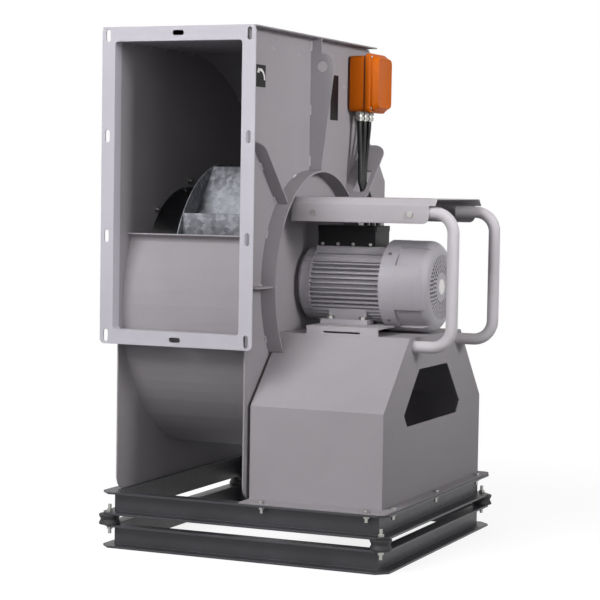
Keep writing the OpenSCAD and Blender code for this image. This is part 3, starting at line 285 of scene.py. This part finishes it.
finishes = {
    "casing": powderCoat("casingPaint", paintLook["casing"]),
    "flange": powderCoat("flangePaintedLight", paintLook["flange"], 0.5),
    "tray": powderCoat("trayPaint", paintLook["tray"], 0.55, 0.8),
    "tube": powderCoat("tubePaintedLight", paintLook["tube"], 0.5, 0.8),
    "bracket": powderCoat("bracketPaint", paintLook["bracket"]),
    "frame": rolledSteelPaint("frameBlack", paintLook["frame"]),
    "motor": castPaint("motorPaint", paintLook["motor"]),
    "cowl": powderCoat("cowlPaint", paintLook["motor"], 0.34, 0.7, 2.5 * mm),
    "cone": lacquer("coneLacquer", paintLook["cone"]),
    "galvanised": galvanisedSheet("galvanisedSheet"),
    "zinc": bareMetal("zincPlate", (168, 168, 164), 0.34),
    "steel": bareMetal("turnedSteel", (150, 150, 152), 0.32),
    "iron": castPaint("ironCore", (88, 84, 82), 0.55),
    "rubber": dullRubber("mountRubber"),
    "blackPlastic": mouldedPlastic("blackPlastic", (26, 26, 28), 0.4),
    "orange": mouldedPlastic("orangePlastic", paintLook["orange"]),
    "plate": powderCoat("plateBlack", paintLook["plate"], 0.5, 0.6),
    "cable": cableJacket("cableJacket"),
    # weld beads are the casing paint made lighter: painted highlight on the beads
    "weld": powderCoat("weldPaintedHighlight", (184, 180, 184), 0.34, 1.4, 0.5 * mm),
    "white": powderCoat("arrowWhite", (226, 224, 222), 0.5, 0.5, 0.2 * mm),
}

nodeFinish = {
    "frame": ["lower_frame_front", "lower_frame_rear", "lower_frame_left", "lower_frame_right",
              "upper_frame_front", "upper_frame_rear", "upper_frame_left", "upper_frame_right"],
    "rubber": ["rubber_mounts"],
    "zinc": ["mount_studs", "cone_bolts", "switch_glands", "terminal_gland", "hub_bolt",
             "hub_washer", "foot_bolts", "motor_bolts", "guard_screws"],
    "casing": ["inlet_side_plate", "motor_side_plate", "scroll_wrapper", "cutoff_lip", "top_plate",
               "inlet_ring", "shaft_seal", "stiffener_ring", "lifting_rib", "casing_ribs",
               "cable_rib", "pedestal_shell", "pedestal_end", "pedestal_foot"],
    "tray": ["motor_plinth", "guard_tray"],
    "tube": ["bumper_tube_near", "bumper_tube_far"],
    "bracket": ["switch_bracket"],
    "flange": ["outlet_flange"],
    "cone": ["inlet_cone"],
    "motor": ["motor_feet", "stator_housing", "drive_shield", "rear_shield"],
    "cowl": ["fan_cowl"],
    "iron": ["stator_core", "rotor_core"],
    "steel": ["shaft_bearings", "motor_shaft"],
    "galvanised": ["impeller_hub", "impeller_backplate", "impeller_blades", "impeller_shroud"],
    "blackPlastic": ["cooling_fan", "terminal_box", "terminal_lid"],
    "orange": ["switch_box", "switch_lid"],
    "cable": ["motor_cables"],
    "plate": ["rotation_plate", "blank_plate"],
}
for finish, names in nodeFinish.items():
    for name in names:
        nodes[name].data.materials.clear()
        nodes[name].data.materials.append(finishes[finish])
print("finishes on the nodes")


# modelling helpers

def deselectAll():
    if bpy.context.mode != "OBJECT":
        bpy.ops.object.mode_set(mode="OBJECT")
    bpy.ops.object.select_all(action="DESELECT")


def named(name):  # the object that an operator has just made
    piece = bpy.context.object
    piece.name = name
    piece.data.name = name
    return piece


def settle(piece):  # place goes into the mesh
    deselectAll()
    piece.select_set(True)
    bpy.context.view_layer.objects.active = piece
    bpy.ops.object.transform_apply(location=True, rotation=True, scale=True)


def finishPiece(piece, finish, body, angle=35):
    settle(piece)
    bpy.ops.object.shade_smooth_by_angle(angle=math.radians(angle))
    piece.data.materials.clear()
    piece.data.materials.append(finishes[finish])
    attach(piece, body)
    return piece


def bevelled(piece, width, segments=2, angle=30):
    trim = piece.modifiers.new("edges", "BEVEL")
    trim.width = width
    trim.segments = segments
    trim.limit_method = "ANGLE"
    trim.angle_limit = math.radians(angle)
    bpy.context.view_layer.objects.active = piece
    bpy.ops.object.modifier_apply(modifier="edges")


def copyOf(piece, place):
    twin = piece.copy()
    twin.data = piece.data.copy()
    bpy.context.collection.objects.link(twin)
    twin.matrix_world = place
    return twin


def joined(pieces, name):
    deselectAll()
    for piece in pieces:
        piece.select_set(True)
    bpy.context.view_layer.objects.active = pieces[0]
    if len(pieces) > 1:
        bpy.ops.object.join()
    return named(name)


def pick(piece, kind, test):  # leaves edit mode open with the chosen parts selected
    bpy.ops.object.mode_set(mode="OBJECT")
    mesh = piece.data
    for parts in (mesh.vertices, mesh.edges, mesh.polygons):
        parts.foreach_set("select", [False] * len(parts))
    for part in {"VERT": mesh.vertices, "EDGE": mesh.edges, "FACE": mesh.polygons}[kind]:
        part.select = test(part)
    bpy.context.view_layer.objects.active = piece
    bpy.context.tool_settings.mesh_select_mode = (kind == "VERT", kind == "EDGE", kind == "FACE")
    bpy.ops.object.mode_set(mode="EDIT")


def ends(piece, edge):
    return [piece.data.vertices[k].co for k in edge.vertices]


def block(name, low, high):  # cube at its size and place
    deselectAll()
    low, high = Vector(low), Vector(high)
    bpy.ops.mesh.primitive_cube_add(size=1, location=(low + high) / 2, scale=high - low)
    piece = named(name)
    settle(piece)
    return piece


def solid(piece, thickness, offset=0):
    deselectAll()
    piece.select_set(True)
    bpy.context.view_layer.objects.active = piece
    wall = piece.modifiers.new("wall", "SOLIDIFY")
    wall.thickness = thickness
    wall.offset = offset
    bpy.ops.object.modifier_apply(modifier="wall")


def around(i, count, first=0.0):
    return math.radians(first + 360 * i / count)


# places read from the frame

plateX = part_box("motor_side_plate")[1].x
shaftY = (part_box("stator_housing")[0].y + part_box("stator_housing")[1].y) / 2
shaftZ = frame["joints"][0]["pos_m"][2]
ringLow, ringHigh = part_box("stiffener_ring")
ringR = (ringHigh.y - ringLow.y) / 2
photoShift = (-38.5, -549.9)  # from the measured photo to the frame, in mm


# cables from the switch box to the motor

cableLook = {"radius": 7.5 * mm, "dip": 90 * mm, "out": 30 * mm, "side": 130 * mm,
             "rise": 8.5 * mm, "pitch": 18 * mm, "passOut": 49 * mm, "passReach": 428 * mm, "steps": 16,
             "boxGland": 13.42 * mm, "motorGland": 11.5 * mm, "inset": 0.5 * mm}


def spaced(low, high, half, i):  # middle of gland i of three
    return low + half + (high - low - 2 * half) * i / 2


def bezierPoint(a, b, c, d, t):
    u = 1 - t
    return a * u ** 3 + b * 3 * u * u * t + c * 3 * u * t * t + d * t ** 3


def cableRoute(i):  # gland, bend, passage in the rear rib, bend, gland
    low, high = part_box("switch_glands")
    inset = cableLook["inset"]
    start = Vector(((low.x + high.x) / 2, spaced(low.y, high.y, cableLook["boxGland"], i), high.z - inset))
    a = start - Vector((0, 0, high.z - low.z + 2 * inset))
    reach = cableLook["passReach"] / math.sqrt(2)
    b = Vector((plateX + cableLook["passOut"],
                shaftY + reach + (i - 1) * cableLook["pitch"], shaftZ + reach))
    motorLow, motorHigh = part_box("terminal_gland")
    end = Vector((spaced(motorLow.x, motorHigh.x, cableLook["motorGland"], i),
                  motorLow.y + inset, (motorLow.z + motorHigh.z) / 2))
    c = end + Vector((0, motorHigh.y - motorLow.y + inset, 0))
    dip = Vector((0, 0, cableLook["dip"]))
    out = Vector((cableLook["out"], 0, 0))
    side = Vector((0, cableLook["side"], cableLook["rise"]))
    n = cableLook["steps"]
    first = [bezierPoint(a, a - dip / 2, b + dip, b, k / n) for k in range(n)]
    second = [bezierPoint(b, b - dip + out, c + side, c, k / n) for k in range(n + 1)]
    return [start] + first + second + [end]


def tubeAlong(route, radius, name, sides=6, swell=None):
    line = bpy.data.curves.new(name, "CURVE")
    line.dimensions = "3D"
    spline = line.splines.new("POLY")
    spline.points.add(len(route) - 1)
    for k, (point, place) in enumerate(zip(spline.points, route)):
        point.co = (*place, 1)
        point.radius = swell[k] if swell else 1
    line.bevel_depth = radius
    line.bevel_resolution = sides
    line.use_fill_caps = True
    piece = bpy.data.objects.new(name, line)
    bpy.context.collection.objects.link(piece)
    deselectAll()
    piece.select_set(True)
    bpy.context.view_layer.objects.active = piece
    bpy.ops.object.convert(target="MESH")
    return named(name)


cables = joined([tubeAlong(cableRoute(i), cableLook["radius"], "cable") for i in range(3)], "motorCables")
finishPiece(cables, "cable", "stand", 60)
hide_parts("motor_cables")
print("cables")


# direction arrow on the black plate

arrowLook = {"radius": 28 * mm, "width": 8 * mm, "from": 0, "sweep": 120, "head": 10 * mm,
             "thick": 0.4 * mm, "right": 35 * mm, "down": 42 * mm, "steps": 32}


def ringArc(name, centre, look):  # flat band facing +X, open for the rest of the turn
    deselectAll()
    bpy.ops.mesh.primitive_circle_add(vertices=look["steps"] * 2, radius=look["radius"] - look["width"] / 2,
                                      location=centre, rotation=(0, math.radians(90), 0))
    piece = named(name)
    settle(piece)

    def outside(edge):
        spoke = sum(ends(piece, edge), Vector()) / 2 - centre
        return (math.degrees(math.atan2(spoke.z, spoke.y)) - look["from"]) % 360 > look["sweep"]

    pick(piece, "EDGE", outside)
    bpy.ops.mesh.delete(type="EDGE")
    bpy.ops.mesh.select_all(action="SELECT")
    bpy.ops.mesh.extrude_edges_move()
    grow = (look["radius"] + look["width"] / 2) / (look["radius"] - look["width"] / 2)
    bpy.ops.transform.resize(value=(1, grow, grow), center_override=centre)
    bpy.ops.object.mode_set(mode="OBJECT")
    return piece


def arrowHead(centre, look):  # three-cornered tip at the end of the arc, along its turn
    turn = math.radians(look["from"] + look["sweep"])
    deselectAll()
    bpy.ops.mesh.primitive_circle_add(vertices=3, radius=look["head"], fill_type="NGON",
                                      rotation=(0, math.radians(90), 0))
    tip = named("arrowTip")
    settle(tip)
    tip.rotation_euler = (turn + math.radians(90), 0, 0)
    tip.location = centre + Vector((0, math.cos(turn), math.sin(turn))) * look["radius"]
    settle(tip)
    return tip


def directionArrow():
    low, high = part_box("rotation_plate")
    centre = Vector((high.x, high.y - arrowLook["right"], high.z - arrowLook["down"]))
    band = ringArc("arrowBand", centre, arrowLook)
    arrow = joined([band, arrowHead(centre, arrowLook)], "directionArrow")
    bpy.ops.object.mode_set(mode="EDIT")
    bpy.ops.mesh.select_all(action="SELECT")
    bpy.ops.mesh.normals_make_consistent(inside=False)
    bpy.ops.object.mode_set(mode="OBJECT")
    solid(arrow, arrowLook["thick"])
    return finishPiece(arrow, "white", "stand")


directionArrow()
print("direction arrow")


# blank plate: narrower than its solid, with a raised border

blankLook = {"less": 43 * mm, "corner": 2.5 * mm, "border": 2.5 * mm, "deep": 0.4 * mm}


def blankPlate():
    low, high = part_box("blank_plate")
    plate = block("blankPlate", low, (high.x, high.y - blankLook["less"], high.z))
    pick(plate, "EDGE", lambda e: abs(ends(plate, e)[0].x - ends(plate, e)[1].x) > 0.5 * mm)
    bpy.ops.mesh.bevel(offset=blankLook["corner"], segments=4)
    pick(plate, "FACE", lambda f: f.normal.x > 0.9)
    bpy.ops.mesh.inset(thickness=blankLook["border"], depth=0)
    bpy.ops.mesh.inset(thickness=0.3 * mm, depth=-blankLook["deep"])
    bpy.ops.object.mode_set(mode="OBJECT")
    finishPiece(plate, "plate", "stand")
    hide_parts("blank_plate")


blankPlate()
print("blank plate")


# rolled sheets: the node's own mesh, merged and shaded smooth

def smoothed(name, finish, body, angle):
    piece = copyOf(nodes[name], nodes[name].matrix_world.copy())
    piece.name = name + "Smooth"
    bpy.context.view_layer.objects.active = piece
    bpy.ops.object.mode_set(mode="EDIT")
    bpy.ops.mesh.select_all(action="SELECT")
    bpy.ops.mesh.remove_doubles(threshold=0.00002)
    bpy.ops.object.mode_set(mode="OBJECT")
    finishPiece(piece, finish, body, angle)
    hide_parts(name)


smoothed("scroll_wrapper", "casing", "stand", 30)
smoothed("inlet_cone", "cone", "stand", 40)
print("rolled sheets")


# guard tray: sheet folded over the motor, with sloping shoulders

trayLook = {"rise": 19 * mm, "over": 19 * mm, "sheet": 3 * mm, "corner": 18 * mm}


def guardTray():
    low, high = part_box("guard_tray")
    top = high.z + trayLook["rise"]
    near = 0.5 * mm
    tray = block("guardTray", low, (high.x + trayLook["over"], high.y, top))
    pick(tray, "FACE", lambda f: f.normal.z < -0.9 or abs(f.normal.x) > 0.9)
    bpy.ops.mesh.delete(type="FACE")
    pick(tray, "EDGE", lambda e: all(v.z > top - near for v in ends(tray, e))
         and abs(ends(tray, e)[0].x - ends(tray, e)[1].x) > near)
    bpy.ops.mesh.bevel(offset=trayLook["rise"], segments=1)
    bpy.ops.mesh.select_all(action="SELECT")
    bpy.ops.mesh.bisect(plane_co=(high.x, 0, 0), plane_no=(1, 0, 0))
    pick(tray, "FACE", lambda f: f.center.x > high.x and abs(f.normal.y) > 0.9)
    bpy.ops.mesh.delete(type="FACE")
    pick(tray, "VERT", lambda v: abs(v.co.x - high.x) < near and v.co.z < low.z + near)
    bpy.ops.mesh.bevel(offset=trayLook["corner"], segments=8, affect="VERTICES")
    bpy.ops.object.mode_set(mode="OBJECT")
    solid(tray, trayLook["sheet"], -1)
    bevelled(tray, 0.8 * mm)
    finishPiece(tray, "tray", "stand")
    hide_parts("guard_tray")


guardTray()
print("guard tray")


# switch box: body with screw bosses, a black ring in the gap under the lid as painted shade, and a lid with a
# raised middle

lidLook = {"corner": 15 * mm, "shadeRing": 4 * mm, "shadeRingIn": 5 * mm, "foot": 0.4, "edge": 3 * mm, "rise": 3 * mm,
           "crownIn": 5 * mm, "cut": 25 * mm, "crown": 0.66, "slope": 8 * mm, "field": 3 * mm,
           "screwIn": 12 * mm, "screwR": 4.5 * mm,
           "lip": 2 * mm, "groove": 0.6 * mm, "grooveDeep": 0.8 * mm, "shadeRingWall": 3 * mm,
           "soft": 1.2 * mm, "crownSoft": 1 * mm}
boxLook = {"corner": 13 * mm, "in": 4 * mm, "bossIn": 11 * mm, "bossR": 7 * mm, "bossLong": 13 * mm,
           "lip": 2 * mm, "step": 0.5 * mm, "stepDeep": 3 * mm, "soft": 1.5 * mm,
           "bossLip": 2 * mm, "bossDome": 1.5 * mm}


def cornered(name, low, high, corner, segments):  # rounded block, open in edit mode on its +X face
    piece = block(name, low, high)
    pick(piece, "EDGE", lambda e: abs(ends(piece, e)[0].x - ends(piece, e)[1].x) > mm)
    bpy.ops.mesh.bevel(offset=corner, segments=segments)
    pick(piece, "FACE", lambda f: f.normal.x > 0.9)
    return piece


def corners(low, high, inset):
    return [(y, z) for y in (low.y + inset, high.y - inset) for z in (low.z + inset, high.z - inset)]


def switchBody():
    low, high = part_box("switch_box")
    rim = boxLook["in"]
    body = cornered("switchBody", (low.x, low.y + rim, low.z), (high.x, high.y - rim, high.z - rim),
                    boxLook["corner"], 6)
    bpy.ops.mesh.inset(thickness=boxLook["lip"], depth=0)
    bpy.ops.mesh.inset(thickness=boxLook["step"], depth=-boxLook["stepDeep"])
    bpy.ops.object.mode_set(mode="OBJECT")
    bevelled(body, boxLook["soft"])
    bosses = []
    for y, z in corners(low, high, boxLook["bossIn"]):
        deselectAll()
        bpy.ops.mesh.primitive_cylinder_add(
            vertices=24, radius=boxLook["bossR"], depth=boxLook["bossLong"],
            location=(high.x - boxLook["bossLong"] / 2, y, z), rotation=(0, math.radians(90), 0))
        boss = named("boxBoss")
        settle(boss)
        pick(boss, "FACE", lambda f: f.normal.x < -0.9)
        bpy.ops.mesh.inset(thickness=boxLook["bossLip"], depth=boxLook["bossDome"])
        bpy.ops.object.mode_set(mode="OBJECT")
        bosses.append(boss)
    body = joined([body] + bosses, "switchBody")
    finishPiece(body, "orange", "stand")
    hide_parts("switch_box")


def switchLid():
    low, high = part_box("switch_lid")
    deep = high.x - low.x
    foot = low.x + deep * lidLook["foot"]
    # black ring set back in the gap between body and lid: painted shade for the gap
    shadeRing = cornered("lidShadeRing", (low.x, low.y + lidLook["shadeRingIn"], low.z + lidLook["shadeRingIn"]),
                    (low.x + lidLook["shadeRing"] + mm, high.y - lidLook["shadeRingIn"], high.z - lidLook["shadeRingIn"]),
                    lidLook["corner"] - lidLook["shadeRingIn"], 6)
    bpy.ops.mesh.inset(thickness=lidLook["shadeRingWall"], depth=0)
    bpy.ops.object.mode_set(mode="OBJECT")
    finishPiece(shadeRing, "rubber", "stand")
    lid = cornered("switchLid", (low.x + lidLook["shadeRing"], low.y, low.z), (foot, high.y, high.z),
                   lidLook["corner"], 7)
    bpy.ops.mesh.inset(thickness=lidLook["edge"], depth=lidLook["rise"])
    bpy.ops.object.mode_set(mode="OBJECT")
    bevelled(lid, lidLook["soft"])
    rim = lidLook["crownIn"]
    shoulder = low.x + deep * lidLook["crown"]
    crown = cornered("lidCrown", (foot, low.y + rim, low.z + rim), (shoulder, high.y - rim, high.z - rim),
                     lidLook["cut"], 3)
    bpy.ops.mesh.inset(thickness=lidLook["lip"], depth=0)
    bpy.ops.mesh.inset(thickness=lidLook["slope"], depth=high.x - shoulder)
    bpy.ops.mesh.inset(thickness=lidLook["field"], depth=0)
    bpy.ops.mesh.inset(thickness=lidLook["groove"], depth=-lidLook["grooveDeep"])
    bpy.ops.object.mode_set(mode="OBJECT")
    bevelled(crown, lidLook["crownSoft"])
    lid = joined([lid, crown], "switchLid")
    finishPiece(lid, "orange", "stand")
    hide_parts("switch_lid")
    screws = []
    for y, z in corners(low, high, lidLook["screwIn"]):
        screws.append(screwHead((foot + lidLook["rise"] + mm, y, z), lidLook["screwR"], "X"))
    finishPiece(joined(screws, "lidScrews"), "zinc", "stand")


def screwHead(place, radius, axis="X", sign=1):  # domed head with a slot
    turn = {"X": (0, math.radians(90), 0), "Y": (math.radians(90), 0, 0), "Z": (0, 0, 0)}[axis]
    deselectAll()
    bpy.ops.mesh.primitive_cylinder_add(vertices=20, radius=radius, depth=radius,
                                        location=place, rotation=turn)
    head = named("screwHead")
    settle(head)
    k = "XYZ".index(axis)
    pick(head, "FACE", lambda f: f.normal[k] * sign > 0.9)
    bpy.ops.mesh.inset(thickness=radius * 0.25, depth=radius * 0.2)
    bpy.ops.mesh.inset(thickness=radius * 0.35, depth=0)
    bpy.ops.mesh.inset(thickness=radius * 0.05, depth=-radius * 0.4)
    bpy.ops.object.mode_set(mode="OBJECT")
    return head


switchBody()
switchLid()
print("switch box")


# weld beads at the roots of the ribs and along the wrapper

weldLook = {"radius": 3.2 * mm, "length": 30 * mm, "small": 2.2 * mm, "dot": 11 * mm,
            "ribShares": [0.07, 0.46, 0.946], "diagonal": [348 * mm, 483 * mm], "level": 340 * mm,
            "wrapperAngles": [298, 290.6, 283.8, 276.2, 269.1, 253.2, 238.4],
            "ripple": 1.6 * mm, "aside": 3.5 * mm, "ringAngles": [28, 62, 108, 152, 205, 250],
            "ringSweep": 4, "plugR": 6 * mm, "plugWire": 1.5 * mm,
            "plugs": [(215.3, 1435.3), (393.6, 1429.7), (741.2, 1354.9)]}  # y and z in the photo's mm
scrollLook = {"start": 401, "growth": 1.085, "last": 265}  # spiral of the wrapper, mm and degrees


def weldRun(start, end, radius):  # bead with ripples and tapered ends
    start, end = Vector(start), Vector(end)
    n = max(6, int((end - start).length / weldLook["ripple"]))
    route = [start.lerp(end, k / n) for k in range(n + 1)]
    swell = [0.35 if k in (0, n) else 0.85 + 0.3 * (k % 2) + dice.uniform(-0.08, 0.08)
             for k in range(n + 1)]
    return tubeAlong(route, radius, "weldBead", 3, swell)


def ribWelds():
    beads = []
    ribLow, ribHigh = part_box("lifting_rib")
    half = Vector((0, 0, weldLook["length"] / 2))
    for share in weldLook["ribShares"]:
        z = min(ribLow.z + (ribHigh.z - ribLow.z) * share, ribHigh.z - half.z)
        root = Vector((plateX + mm, ribLow.y - mm, z))
        beads.append(weldRun(root - half, root + half, weldLook["radius"]))
    out = Vector((0, -1, 1)).normalized()
    aside = Vector((0, -1, -1)).normalized() * weldLook["aside"]
    centre = Vector((plateX + mm, shaftY, shaftZ))
    for reach in weldLook["diagonal"]:
        place = centre + out * reach + aside
        beads.append(weldRun(place - out * half.z, place + out * half.z, weldLook["radius"]))
    side = Vector((0, -1, 0))
    place = centre + side * weldLook["level"] + Vector((0, 0, weldLook["aside"]))
    beads.append(weldRun(place - side * half.z / 2, place + side * half.z / 2, weldLook["radius"]))
    ring = ringR + mm
    for degrees in weldLook["ringAngles"]:
        a, b = math.radians(degrees), math.radians(degrees + weldLook["ringSweep"])
        beads.append(weldRun(centre + Vector((0, math.cos(a), math.sin(a))) * ring,
                             centre + Vector((0, math.cos(b), math.sin(b))) * ring, weldLook["radius"]))
    finishPiece(joined(beads, "ribWelds"), "weld", "stand", 60)


def wrapperWelds():  # tacks where the inlet plate meets the wrapper, seen in the outlet
    low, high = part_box("scroll_wrapper")
    beads = []
    for degrees in weldLook["wrapperAngles"]:
        turn = math.radians(degrees)
        reach = (scrollLook["start"] + scrollLook["growth"] * min(degrees, scrollLook["last"])) * mm - 2 * mm
        if degrees > scrollLook["last"]:
            reach = (high.z - shaftZ - 6 * mm) / -math.sin(turn)
        place = Vector((low.x + 2 * mm, shaftY - reach * math.cos(turn), shaftZ - reach * math.sin(turn)))
        along = Vector((0, math.sin(turn), -math.cos(turn))) * weldLook["dot"] / 2
        beads.append(weldRun(place - along, place + along, weldLook["small"]))
    finishPiece(joined(beads, "wrapperWelds"), "weld", "stand", 60)


def plugWelds():  # three short crescents on the motor side plate
    beads = []
    for y, z in weldLook["plugs"]:
        centre = Vector((plateX, (y + photoShift[1]) * mm, z * mm))
        spokes = [Vector((0, math.cos(around(k, 24, 150)), math.sin(around(k, 24, 150)))) for k in range(13)]
        route = [centre + spoke * weldLook["plugR"] for spoke in spokes]
        beads.append(tubeAlong(route, weldLook["plugWire"], "weldBead", 3))
    finishPiece(joined(beads, "plugWelds"), "weld", "stand", 60)


ribWelds()
wrapperWelds()
plugWelds()
print("welds")


# small pieces of the motor

motorLook = {"capR": 23 * mm, "capT": 3 * mm, "screwR": 5 * mm, "bandIn": 22 * mm, "boltR": 5 * mm,
             "boltShares": [0.08, 0.35, 0.62, 0.92], "boltUp": 6 * mm}


def cowlPieces():
    low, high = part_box("fan_cowl")
    centre = Vector((high.x, shaftY, shaftZ))
    deselectAll()
    bpy.ops.mesh.primitive_cylinder_add(vertices=48, radius=motorLook["capR"], depth=motorLook["capT"],
                                        location=centre, rotation=(0, math.radians(90), 0))
    cap = named("cowlCap")
    settle(cap)
    pick(cap, "FACE", lambda f: f.normal.x > 0.9)
    bpy.ops.mesh.inset(thickness=2 * mm, depth=1.2 * mm)
    bpy.ops.object.mode_set(mode="OBJECT")
    bevelled(cap, 0.5 * mm)
    finishPiece(cap, "white", "stand")
    radius = (high.z - low.z) / 2
    screws = []
    for i in range(4):
        turn = around(i, 4, 45)
        outward = Vector((0, math.cos(turn), math.sin(turn)))
        place = Vector((low.x + motorLook["bandIn"], shaftY, shaftZ)) + outward * radius
        head = screwHead((0, 0, 0), motorLook["screwR"], "Z")
        head.matrix_world = Matrix.Translation(place) @ outward.to_track_quat("Z", "X").to_matrix().to_4x4()
        settle(head)
        screws.append(head)
    finishPiece(joined(screws, "cowlScrews"), "steel", "stand")


def terminalBolts():
    low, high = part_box("terminal_box")
    bolts = []
    for share in motorLook["boltShares"]:
        x = low.x + (high.x - low.x) * share
        bolts.append(screwHead((x, low.y - mm, low.z + motorLook["boltUp"]), motorLook["boltR"], "Y", -1))
    finishPiece(joined(bolts, "terminalBolts"), "zinc", "stand")


cowlPieces()
terminalBolts()
print("motor pieces")


# camera, floor, light

viewLook = {"place": (2.2438, -5.3577, 1.0433), "azimuth": 23.6307, "pitch": 3.3708,
            "roll": 0.9257, "lens": 115.88, "sensor": 36.0}


def addCamera():
    az, pitch, roll = (math.radians(viewLook[k]) for k in ("azimuth", "pitch", "roll"))
    ahead = Vector((-math.sin(az) * math.cos(pitch), math.cos(az) * math.cos(pitch), -math.sin(pitch)))
    right = Vector((math.cos(az), math.sin(az), 0))
    up = right.cross(ahead)
    right2 = right * math.cos(roll) + up * math.sin(roll)
    up2 = up * math.cos(roll) - right * math.sin(roll)
    lens = bpy.data.cameras.new("photoCamera")
    lens.lens = viewLook["lens"]
    lens.sensor_width = viewLook["sensor"]
    lens.clip_end = 60
    camera = bpy.data.objects.new("photoCamera", lens)
    bpy.context.collection.objects.link(camera)
    place = Matrix((right2, up2, -ahead)).transposed().to_4x4()
    place.translation = Vector(viewLook["place"])
    camera.matrix_world = place
    bpy.context.scene.camera = camera


addCamera()

floorLook = {"size": 60, "tone": (0.22, 0.22, 0.23, 1.0), "rough": 0.9,
             "glow": 0.84, "near": 0.9, "far": 1.9}


def addFloor():  # soft shade near the fan, plain white further out and for the camera
    deselectAll()
    bpy.ops.mesh.primitive_plane_add(size=floorLook["size"], location=(0, 0, 0))
    floor = named("floor")
    sheet = Sheet("floorWhite")
    lit = Wire(sheet, sheet.shader.outputs[0])
    seen = sheet.add("ShaderNodeLightPath", {}, {}, "Is Camera Ray")
    for ray in ("Is Glossy Ray", "Is Transmission Ray"):
        seen = seen + sheet.add("ShaderNodeLightPath", {}, {}, ray)
    away = sheet.add("ShaderNodeVectorMath", {"operation": "LENGTH"}, {0: sheet.place()}, "Value")
    sheet.set(Base_Color=floorLook["tone"], Roughness=floorLook["rough"])
    glow, plain = (sheet.add("ShaderNodeEmission", {}, {"Color": (1, 1, 1, 1), "Strength": level}, "Emission")
                   for level in (floorLook["glow"], 1.0))
    both = sheet.add("ShaderNodeAddShader", {}, {0: lit, 1: glow}, "Shader")
    fade = ((away - floorLook["near"]) * (1 / (floorLook["far"] - floorLook["near"]))).clamp()
    shown = sheet.add("ShaderNodeMixShader", {}, {0: fade, 1: both, 2: plain}, "Shader")
    mixed = sheet.add("ShaderNodeMixShader", {}, {0: seen.clamp(), 1: lit, 2: shown}, "Shader")
    sheet.links.new(mixed.socket, sheet.nodes["Material Output"].inputs["Surface"])
    floor.data.materials.append(sheet.material)


addFloor()

studioLook = {
    "world": (0.84, 0.83, 0.87), "worldLevel": 0.16,
    "lamps": [  # name, place, target, size, watts, spread
        ("leftSoftbox", (-1.2, -4.0, 3.5), (-0.1, 0, 1.3), 2.2, 78, 120),
        ("farSoftbox", (0.8, -6.5, 2.5), (0.0, 0.0, 0.9), 3.5, 56, 150),
        ("rightBeam", (3.6, -1.1, 2.1), (0.1, 0.1, 1.35), 1.0, 8.5, 48),
        ("rightLow", (4.2, -2.6, 1.6), (0.0, 0.0, 1.1), 2.2, 19, 150),
        ("topSoftbox", (0.2, -0.4, 4.4), (0.2, -0.3, 0.0), 1.6, 4, 120),
    ],
}


def addStudio():
    world = bpy.data.worlds.new("studio")
    bpy.context.scene.world = world
    world.use_nodes = True
    tree = world.node_tree
    back = tree.nodes["Background"]
    back.inputs["Color"].default_value = (*studioLook["world"], 1)
    back.inputs["Strength"].default_value = studioLook["worldLevel"]
    white = tree.nodes.new("ShaderNodeBackground")
    white.inputs["Color"].default_value = (1, 1, 1, 1)
    path = tree.nodes.new("ShaderNodeLightPath")
    blend = tree.nodes.new("ShaderNodeMixShader")
    seen = path.outputs["Is Camera Ray"]
    for ray in ("Is Glossy Ray", "Is Transmission Ray"):
        top = tree.nodes.new("ShaderNodeMath")
        top.operation = "MAXIMUM"
        tree.links.new(seen, top.inputs[0])
        tree.links.new(path.outputs[ray], top.inputs[1])
        seen = top.outputs[0]
    tree.links.new(seen, blend.inputs[0])
    tree.links.new(back.outputs[0], blend.inputs[1])
    tree.links.new(white.outputs[0], blend.inputs[2])
    tree.links.new(blend.outputs[0], tree.nodes["World Output"].inputs["Surface"])
    for name, place, target, size, watts, spread in studioLook["lamps"]:
        lamp = bpy.data.lights.new(name, "AREA")
        lamp.shape = "SQUARE"
        lamp.size = size
        lamp.energy = watts
        lamp.spread = math.radians(spread)
        box = bpy.data.objects.new(name, lamp)
        bpy.context.collection.objects.link(box)
        box.location = place
        box.rotation_euler = (Vector(target) - Vector(place)).to_track_quat("-Z", "Y").to_euler()


addStudio()
bpy.context.scene.view_settings.view_transform = "Standard"
print("camera, floor and light")
